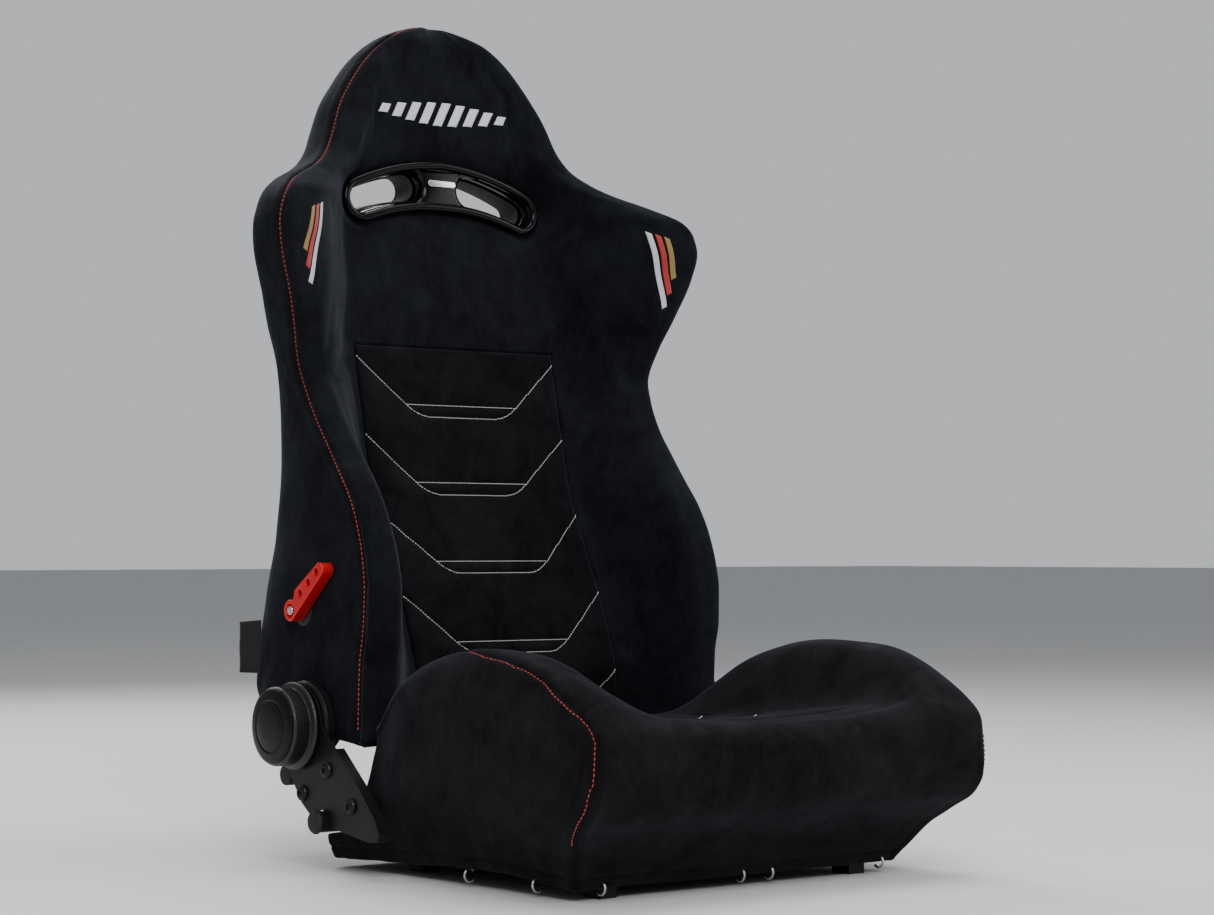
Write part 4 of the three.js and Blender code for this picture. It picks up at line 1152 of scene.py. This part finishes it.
def finish_seat_cover(cover):
    """Seam grooves, hem band and soft creases, once the padding has its shape."""
    tree = surface_of(cover)
    places = place_of(cover)
    x, y, z = places.T
    amount = 0.9 * noise_at(places, 75, 3) + 0.3 * noise_at(places, 24, 4)
    above_hem = z - hem_height(y)
    outer = smooth((np.abs(x) - 150) / 40) + smooth((-150 - y) / 40)
    pleats = noise_at(places * (1, 1, 0.22), 17, 6) * np.exp(-np.maximum(above_hem, 0) / 30)
    amount += 1.1 * pleats * np.minimum(outer, 1)
    long_creases = noise_at(places * (0.3, 1, 1.3), 22, 8) * ridge(z - 62, 26)
    amount += 0.8 * long_creases * smooth((-175 - y) / 30)
    amount -= 1.3 * ridge(above_hem - 13, 1.8) * np.minimum(outer, 1)
    paths, grooves = [], []
    for side in (1, -1):
        path, _ = on_surface(tree, softened(on_surface(tree, seat_seam(side))[0], 7))
        corner = [path[-1], (side * 228, -187, 40), (side * 219, -175, 25), (side * 212, -167, 11)]
        plain, _ = on_surface(tree, spaced(corner, 3))
        paths.append(path)
        grooves.append(np.vstack([path, plain]))
    near = np.min([line_distance(places, groove[::2]) for groove in grooves], axis=0)
    amount *= smooth(near / 12)
    amount += 0.8 * ridge(near - 7.5, 5) - 2.4 * ridge(near, 2.1)
    push(cover, amount)
    return surface_of(cover), paths


# ------------------------------------------------------------------ rear cover

COVER_MARGIN = 34
COVER_LOW, COVER_TOP = 165, 895
YOKES = (330, 610)  # heights of the two seams across the rear cover


def cover_edge(z):
    return back_half(z) - COVER_MARGIN


def build_rear_cover():
    across = np.linspace(-1, 1, 120)
    share, z = grid_of(across, np.linspace(COVER_LOW, COVER_TOP, 240))
    x = share * cover_edge(z)
    to_edge = np.minimum(cover_edge(z) - np.abs(x), np.minimum(z - COVER_LOW, COVER_TOP - z))
    low_yoke, high_yoke = (np.abs(z - level) for level in YOKES)
    to_seam = np.where(z > YOKES[1], high_yoke, np.minimum(np.abs(x), np.minimum(low_yoke, high_yoke)))
    gap = harness_gap(x, z)
    height = 4.5 * (1 - np.exp(-to_seam / 14)) * smooth(to_edge / 30) * smooth(gap / 25) + 1
    height -= edge_roll(to_edge, 6) + 6 * smooth(1 - gap / 8)
    points = np.stack([x, back_rear_at(x, z) + height, z], 1)
    hidden = gap < -5
    faces = [face[::-1] for face in sheet(points, len(across)) if not all(hidden[v] for v in face)]
    cover = piece("rear_panel_cover", points, faces, SUEDE, "backrest", "suede", ["rear_cover"])
    inflate(cover, (to_seam < 2) | (to_edge < 5) | (gap < 6), COVER_PRESSURE, 3)
    creases = 0.6 * noise_at(place_of(cover), 60, 9) + 0.25 * noise_at(place_of(cover), 22, 10)
    push(cover, creases * smooth(to_edge / 20))
    push(cover, -1.8 * ridge(to_seam, 2.2) * smooth(gap / 10))
    rows = []
    for level in YOKES:
        wide = cover_edge(level) - 8
        for z in (level - 5, level + 5):
            rows.append([(-wide, 390, z), (0, 400, z), (wide, 340, z)])
    for low, high in ((180, YOKES[0] - 8), (YOKES[0] + 8, YOKES[1] - 8)):
        rows += [[(off, 400, low), (off, 400, high)] for off in (-5, 5)]
    rows = [spaced(row, 4) for row in rows]
    stitches("rear_topstitching", rows, surface_of(cover), (5.5, 4.0, 0.6), BLACK_THREAD, "backrest")
    thicken(cover, 2)

    corner = 22
    edge = [(cover_edge(level), level) for level in np.linspace(COVER_LOW + corner, COVER_TOP - corner, 150)]
    border = edge + [(cover_edge(COVER_TOP) * k, COVER_TOP) for k in np.linspace(0.9, -0.9, 14)]
    border += [(-u, v) for u, v in reversed(edge)]
    border += [(cover_edge(COVER_LOW) * k, COVER_LOW) for k in np.linspace(-0.93, 0.93, 70)]
    u, v = spaced(border + border[:1], 4).T
    cord("rear_piping", np.stack([u, back_rear_at(u, v) + 0.6, v], 1), 2.6, PANEL_SUEDE, "backrest", "suede")


# ------------------------------------------------------------------ bezels, sleeves, badge


BEZEL_LEAN = 0.1
BEZEL_PROUD = 4
BAND_THICK = 10
FLOOR_THICK = 22
FLOOR_ROLL = 9
FLOOR_DEPTH = 4.5


def bezel_front(z):
    return back_centre(HARNESS_MID) + (z - HARNESS_MID) * BEZEL_LEAN - BEZEL_PROUD


def build_bezels():
    band = plate(whole_harness(0), [whole_harness(9.5)], BAND_THICK, 4.4, 6)
    floor_holes = [harness_hole(side, RIM) for side in (-1, 1)]
    floor = plate(whole_harness(0.5), floor_holes, FLOOR_THICK, FLOOR_ROLL, 8)

    def bezel(name, node, place):
        """Band and floor, with place(u, v, depth) giving Y at a depth below the outer face."""
        parts = []
        for (points, faces), top in ((band, BAND_THICK), (floor, FLOOR_DEPTH + FLOOR_THICK)):
            u, v, w = points.T
            parts.append((np.stack([u, place(u, v, top - w), v], 1), faces))
        closed_piece(name, *joined(parts), GLOSS_BLACK, "backrest", "gloss_black", [node])

    bezel("front_bezel", "harness_bezel", lambda u, v, depth: bezel_front(v) + depth)
    bezel("rear_bezel", "harness_bezel_rear", lambda u, v, depth: back_rear_at(u, v) + BEZEL_PROUD - depth)

    start = bezel_front(HARNESS_MID) + FLOOR_DEPTH + FLOOR_THICK - 3
    end = REAR_BEZEL_HIGH[1] - FLOOR_DEPTH - 4
    for side, name in SIDES:
        loops = []
        for depth in np.arange(start, end, 0.8):
            rib = 0.55 * math.cos(2 * math.pi * (depth - start) / 4.4) * smooth((depth - start) / 4)
            loops.append([(u, depth, v) for u, v in harness_hole(side, RIM + 1.2 + rib)])
        sleeve = piece(f"ribbed_sleeve_{name}", *loft(loops), SLEEVE, "backrest", "sleeve_plastic",
                       [f"harness_sleeve_{name}"])
        thicken(sleeve, 1.2, 1)
        turn_outwards(sleeve)

    reach, half_high = 15.4, 3.6
    pill = arc(reach, 0, half_high, -90, 90, 10) + arc(-reach, 0, half_high, 90, 270, 10)
    points, faces = plate(pill, [], 1.6, 0.5)
    u, v, w = points.T
    z = HARNESS_MID + 3 + v
    points = np.stack([u, bezel_front(z) + 4.2 - w, z], 1)
    closed_piece("bezel_plate", points, faces, BADGE_METAL, "backrest", "badge", ["bezel_badge"])


# ------------------------------------------------------------------ recliner side trims


def build_handwheels():
    inner, outer = WHEEL_LOW[0], WHEEL_HIGH[0]
    flange, rim, bore = WHEEL_HIGH[2] - HINGE_Z, WHEEL_HIGH[2] - HINGE_Z - 5, 6.4
    profile = rounded([
        (bore, inner), (flange - 0.6, inner), (flange, inner + 1.4), (flange - 1.2, inner + 3.6),
        (rim + 0.2, inner + 5.2), (rim - 1.2, inner + 6.2), (rim - 1.2, inner + 7.6), (rim + 0.3, inner + 9),
        (rim + 0.3, outer - 2.4), (rim - 2, outer), (30, outer), (30, outer - 7), (bore, outer - 7),
    ], 1.3)
    face, top = outer + 0.35, CAP_HIGH[0]
    dome = rounded([
        (0.4, face - 7), (29, face - 7), (29, face), (rim - 2.4, face), (rim - 1.9, face + 1),
        (35.5, face + 2.6), (27.6, face + 3.7), (26.4, face + 2.6), (25.2, face + 3.9),
        (16, top - 0.5), (0.4, top),
    ], 1.6)
    for side, name in SIDES:
        closed_piece(f"wheel_{name}", *turned(profile, HINGE_Y, HINGE_Z, side), GRAINED, "drive",
                     "grained_plastic", [f"handwheel_{name}"])
        closed_piece(f"wheel_dome_{name}", *turned(dome, HINGE_Y, HINGE_Z, side), CAP_BLACK, "drive",
                     "gloss_black", [f"wheel_cap_{name}"])


SOCKET_RADIUS = 3.25


def hex_wave(radius, angle):
    """Follows a hexagon in the socket of a bolt head, and a circle elsewhere."""
    if radius > SOCKET_RADIUS:
        return radius
    return radius / np.cos(np.mod(angle, math.pi / 3) - math.pi / 6)


def build_bolts():
    for side, name in SIDES:
        for k in (1, 2, 3):
            low, high = node_box(f"bracket_bolt_{name}_{k}")
            y, z = (low[1:] + high[1:]) / 2
            tip, head = sorted((abs(low[0]), abs(high[0])))
            seat = head - 4.6
            profile = rounded([
                (0.3, tip), (5, tip), (5, seat), (8.5, seat), (8.5, seat + 1.1), (7.2, seat + 3.3),
                (4.4, seat + 4.5), (3.6, seat + 4.5), (3.2, seat + 4), (3.1, seat + 1.6), (0.3, seat + 1.2),
            ], 0.9, 3)
            closed_piece(f"button_bolt_{name}_{k}", *turned(profile, y, z, side, 48, hex_wave), BLACK_BOLT,
                         "base", "black_steel", [f"bracket_bolt_{name}_{k}"])


def build_lever():
    """Milled arm: a round boss at the pivot, a notch, then a straight tapered body with three holes."""
    run, rise = LEVER_LOW[1] + 9 - LEVER_Y, LEVER_HIGH[2] - 9 - LEVER_Z
    reach, turn = math.hypot(run, rise), math.atan2(rise, run)
    outline = arc(0, 0, 11.3, 60, 256, 20) + arc(0.95 * reach, -0.6, 7.6, -86, 62, 12)
    outline += [(21, 11.2), (19, 10.6), (14.6, 6.4), (11.5, 5.6), (8.5, 7)]
    holes = [circle(reach * share, mix(3.4, 0.6, share), 4.1) for share in (0.36, 0.62, 0.88)]
    holes.append(circle(0, 0, 7.4))
    points, faces = plate(outline, holes, LEVER_HIGH[0] - LEVER_LOW[0], 0.9)
    u, v, w = points.T
    y = LEVER_Y + u * math.cos(turn) + v * math.sin(turn)
    z = LEVER_Z + u * math.sin(turn) - v * math.cos(turn)
    body = np.stack([LEVER_HIGH[0] - w, y, z], 1), faces
    face = abs(LEVER_LOW[0])
    floor = rounded([(0.3, face - 9), (7.8, face - 9), (7.8, face - 3.4), (0.3, face - 3.4)], 0.3)
    web = turned(floor, LEVER_Y, LEVER_Z, -1, 48)
    lever = closed_piece("milled_lever", *joined([body, web]), RED_METAL, "lever", "red_anodised",
                         ["release_lever"])
    lever.data.set_sharp_from_angle(angle=math.radians(35))

    head = face + 0.4
    profile = rounded([
        (0.3, face - 6), (4.9, face - 6), (5.1, head - 1.6), (4.3, head - 0.3),
        (3.3, head), (2.9, head - 0.4), (2.8, head - 2.4), (0.3, head - 2.8),
    ], 0.7, 3)
    closed_piece("pivot_screw", *turned(profile, LEVER_Y, LEVER_Z, -1, 48, hex_wave), BRIGHT_STEEL,
                 "lever", "bright_steel", ["lever_screw"])
    outer, inner = np.abs([corner[0] for corner in node_box("lever_escutcheon")])
    plain = rounded([(0.3, inner), (17, inner), (16.6, inner + 1.2), (13.5, outer), (0.3, outer)], 0.9)
    closed_piece("lever_rosette", *turned(plain, LEVER_Y, LEVER_Z, -1), MOULDED, "backrest",
                 "grained_plastic", ["lever_escutcheon"])


def build_tag():
    low, high = node_box("tab_label")
    middle = (low + high) / 2
    half_high = (high[2] - low[2]) / 2
    columns = 26
    u, v = grid_of(np.linspace(0, 1, columns), np.linspace(-1, 1, 40))
    bow = 1.6 * np.sin(u * math.pi * 0.8) * (0.6 + 0.4 * v) + 0.5 * np.cos(v * 5) * (1 - u)
    z = middle[2] + v * half_high - 1.5 * (1 - u) * v
    points = np.stack([mix(low[0], high[0], u), middle[1] + bow, z], 1)
    tag = piece("woven_tag", points, sheet(points, columns), TAG_WEAVE, "backrest", "tag_fabric",
                ["tab_label"])
    inset = half_high - 3
    corners = ((high[0] - 2, -inset), (low[0] + 3, -inset), (low[0] + 3, inset), (high[0] - 2, inset))
    edge = [(x, middle[1] - 3, middle[2] + rise) for x, rise in corners]
    stitches("tag_stitching", [spaced(edge, 1.5)], surface_of(tag), (2.6, 2.0, 0.35), BLACK_THREAD,
             "backrest", "tag_fabric", sink=-0.8)
    thicken(tag, 1.5, 0)


# ------------------------------------------------------------------ marks on the cover


def patch(name, sides, tree, lift, finish, slot="suede", crown=0.0):
    """Raised patches between a left and a right edge, each edge a pair of (x, z) ends."""
    across, down = 9, 40
    s, t = grid_of(np.linspace(0, 1, across), np.linspace(0, 1, down))
    ease = np.minimum(np.minimum(s, 1 - s) * 6, np.minimum(t, 1 - t) * 14)
    height = lift * smooth(ease + 0.35) + crown * np.sqrt(np.clip(4 * s * (1 - s), 0, 1))
    parts = []
    for edges in sides:
        left, right = (mix(*np.array(edge, float)[:, None], t[:, None]) for edge in edges)
        x, z = mix(left, right, s[:, None]).T
        starts = to_frame(np.stack([x, 0 * x, z], 1))
        hits = [tree.ray_cast(Vector(start), Vector((0, 1, 0))) for start in starts]
        top = from_frame([hit[0] for hit in hits]) + np.array([hit[1] for hit in hits]) * height[:, None]
        parts.append((top, sheet(top, across)))
    obj = piece(name, *joined(parts), finish, "backrest", slot)
    thicken(obj, lift + 0.6)
    turn_outwards(obj)


BAR_HEIGHTS = (10, 16, 21, 25, 27, 25, 21, 16, 10)
BAR_WIDE, BAR_PITCH, BAR_SLANT, BAR_MIDDLE = 12.5, 20, 7, 825
STRIPES = (  # colour, finish, then inner edge, top and bottom
    ("white", WHITE_PRINT, 222, 700, 610),
    ("red", RED_PRINT, 231, 697, 626),
    ("gold", GOLD_PRINT, 240, 694, 644),
)
STRIPE_WIDE = 6


def build_marks(tree):
    """Plain geometric marks: slanted bars on the headrest, straight stripes on the shoulders."""
    bars = []
    for k, high in enumerate(BAR_HEIGHTS):
        middle = (k - 4) * BAR_PITCH
        lean = BAR_SLANT * high / max(BAR_HEIGHTS)
        bars.append([
            ((x - lean, BAR_MIDDLE - high / 2), (x + lean, BAR_MIDDLE + high / 2))
            for x in (middle - BAR_WIDE / 2, middle + BAR_WIDE / 2)
        ])
    patch("headrest_embroidery", bars, tree, 0.5, WHITE_THREAD, crown=0.7)
    for colour, finish, x, top, low in STRIPES:
        run = 0.2 * (top - low)
        sides = []
        for side, _ in SIDES:
            inner = ((side * (x + run), low), (side * x, top))
            outer = ((side * (x + run + STRIPE_WIDE), low + 3), (side * (x + STRIPE_WIDE), top - 3))
            sides.append((inner, outer)[::side])
        patch(f"shoulder_stripe_{colour}", sides, tree, 0.35, finish, "badge")


# ------------------------------------------------------------------ frame nodes kept as they are


def dress(nodes, finish, bevel=0.0):
    """Gives kept frame nodes their finish, and rounds their edges."""
    for name in nodes:
        node = frame["nodes"][name]
        node.data.materials.clear()
        node.data.materials.append(finish)
        node.modifiers.new("weld", "WELD").merge_threshold = 0.005 * MM
        if bevel:
            rim = node.modifiers.new("rim", "BEVEL")
            rim.width = bevel * MM
            rim.segments = 3
            rim.limit_method = "ANGLE"
            rim.angle_limit = math.radians(32)
        node.modifiers.new("even", "WEIGHTED_NORMAL").weight = 90
        node.data.shade_smooth()


def dress_frame_nodes():
    def both(*names):
        return [f"{name}_{side}" for name in names for _, side in SIDES]

    dress(both("bracket", "recliner_unit", "foot_front", "foot_rear"), BLACK_STEEL, 0.8)
    dress(both("tube_cap"), MOULDED, 0.4)
    dress(both("recline_stop"), MOULDED, 0.5)
    dress(["seat_frame", "backrest_frame"], BLACK_STEEL, 0.4)
    dress(["cross_tube"], BLACK_STEEL, 0.5)
    dress(["sync_shaft"], BRIGHT_STEEL, 0.4)
    dress([f"hog_ring_{k}" for k in range(1, 7)], BRIGHT_STEEL)


# ------------------------------------------------------------------ stage


def aimed(name, data, place, target):
    """A lamp or the camera at a place, facing a target."""
    holder = linked(name, data)
    holder.location = place
    holder.rotation_mode = "QUATERNION"
    holder.rotation_quaternion = (target - place).to_track_quat("-Z", "Y")
    return holder


FLOOR_HALF = 40
LAMPS = (  # name, place in metres about the middle of the feet, size, power
    ("key", (-1.9, -2.6, 2.6), 2.2, 95),
    ("fill", (2.8, -1.6, 1.7), 2.4, 45),
    ("top", (0.2, 0.1, 3.2), 2.4, 55),
    ("rear", (0.6, 3.0, 2.2), 2.0, 55),
)


def build_stage():
    mesh = bpy.data.meshes.new("floor")
    corners = [(x * FLOOR_HALF, y * FLOOR_HALF, 0) for x, y in ((-1, -1), (1, -1), (1, 1), (-1, 1))]
    mesh.from_pydata(corners, [], [(0, 1, 2, 3)])
    paint = Finish("pale_floor", Roughness=0.75)
    cloud = paint.noise(3, 3, 0.6)
    paint.set(Base_Color=paint.between(cloud, (0.74, 0.75, 0.76), (0.80, 0.81, 0.82)))
    mesh.materials.append(paint.material)
    linked("floor", mesh)

    world = bpy.data.worlds.new("studio")
    bpy.context.scene.world = world
    world.use_nodes = True
    tree = world.node_tree
    backdrop = tree.nodes["Background"]
    backdrop.inputs["Color"].default_value = (0.80, 0.82, 0.85, 1)
    seen = tree.nodes.new("ShaderNodeLightPath")
    strength = tree.nodes.new("ShaderNodeMapRange")
    strength.inputs["To Min"].default_value = 0.36
    strength.inputs["To Max"].default_value = 0.72
    tree.links.new(seen.outputs["Is Camera Ray"], strength.inputs["Value"])
    tree.links.new(strength.outputs["Result"], backdrop.inputs["Strength"])

    for name, place, size, power in LAMPS:
        lamp = bpy.data.lights.new(name, "AREA")
        lamp.shape = "DISK"
        lamp.size = size
        lamp.energy = power
        aimed(name, lamp, Vector(place) + Vector(ORIGIN) * MM, Vector(to_frame((0, 50, 450))))


def build_camera():
    azimuth, elevation = math.radians(-39.04), math.radians(-1.88)
    distance = 2.9545
    target = Vector(to_frame((-2.4, 43.9, 428.1)))
    flat = math.cos(elevation)
    back = Vector((math.sin(azimuth) * flat, -math.cos(azimuth) * flat, math.sin(elevation)))
    data = bpy.data.cameras.new("camera")
    data.lens = 83.66
    data.sensor_width = 36
    bpy.context.scene.camera = aimed("camera", data, target + back * distance, target)


# ------------------------------------------------------------------ assembly


def build_seat():
    back_cover, back_seams = build_back_cover()
    back_tree = surface_of(back_cover)
    stitches("backrest_seam_stitching", back_seams, back_tree, SEAM_STITCH, RED_THREAD, "backrest")
    build_back_panel()
    build_rear_cover()
    build_marks(back_tree)

    seat_cover = build_seat_cover()
    seat_tree, seat_paths = finish_seat_cover(seat_cover)
    for path, (side, name) in zip(seat_paths, SIDES):
        stitches(f"cushion_seam_stitching_{name}", [path], seat_tree, SEAM_STITCH, RED_THREAD, "base",
                 shift=3.2 * side)
    build_seat_panel()
    build_rear_tuck()

    build_bezels()
    build_handwheels()
    build_bolts()
    build_lever()
    build_tag()
    dress_frame_nodes()


build_seat()
build_stage()
build_camera()
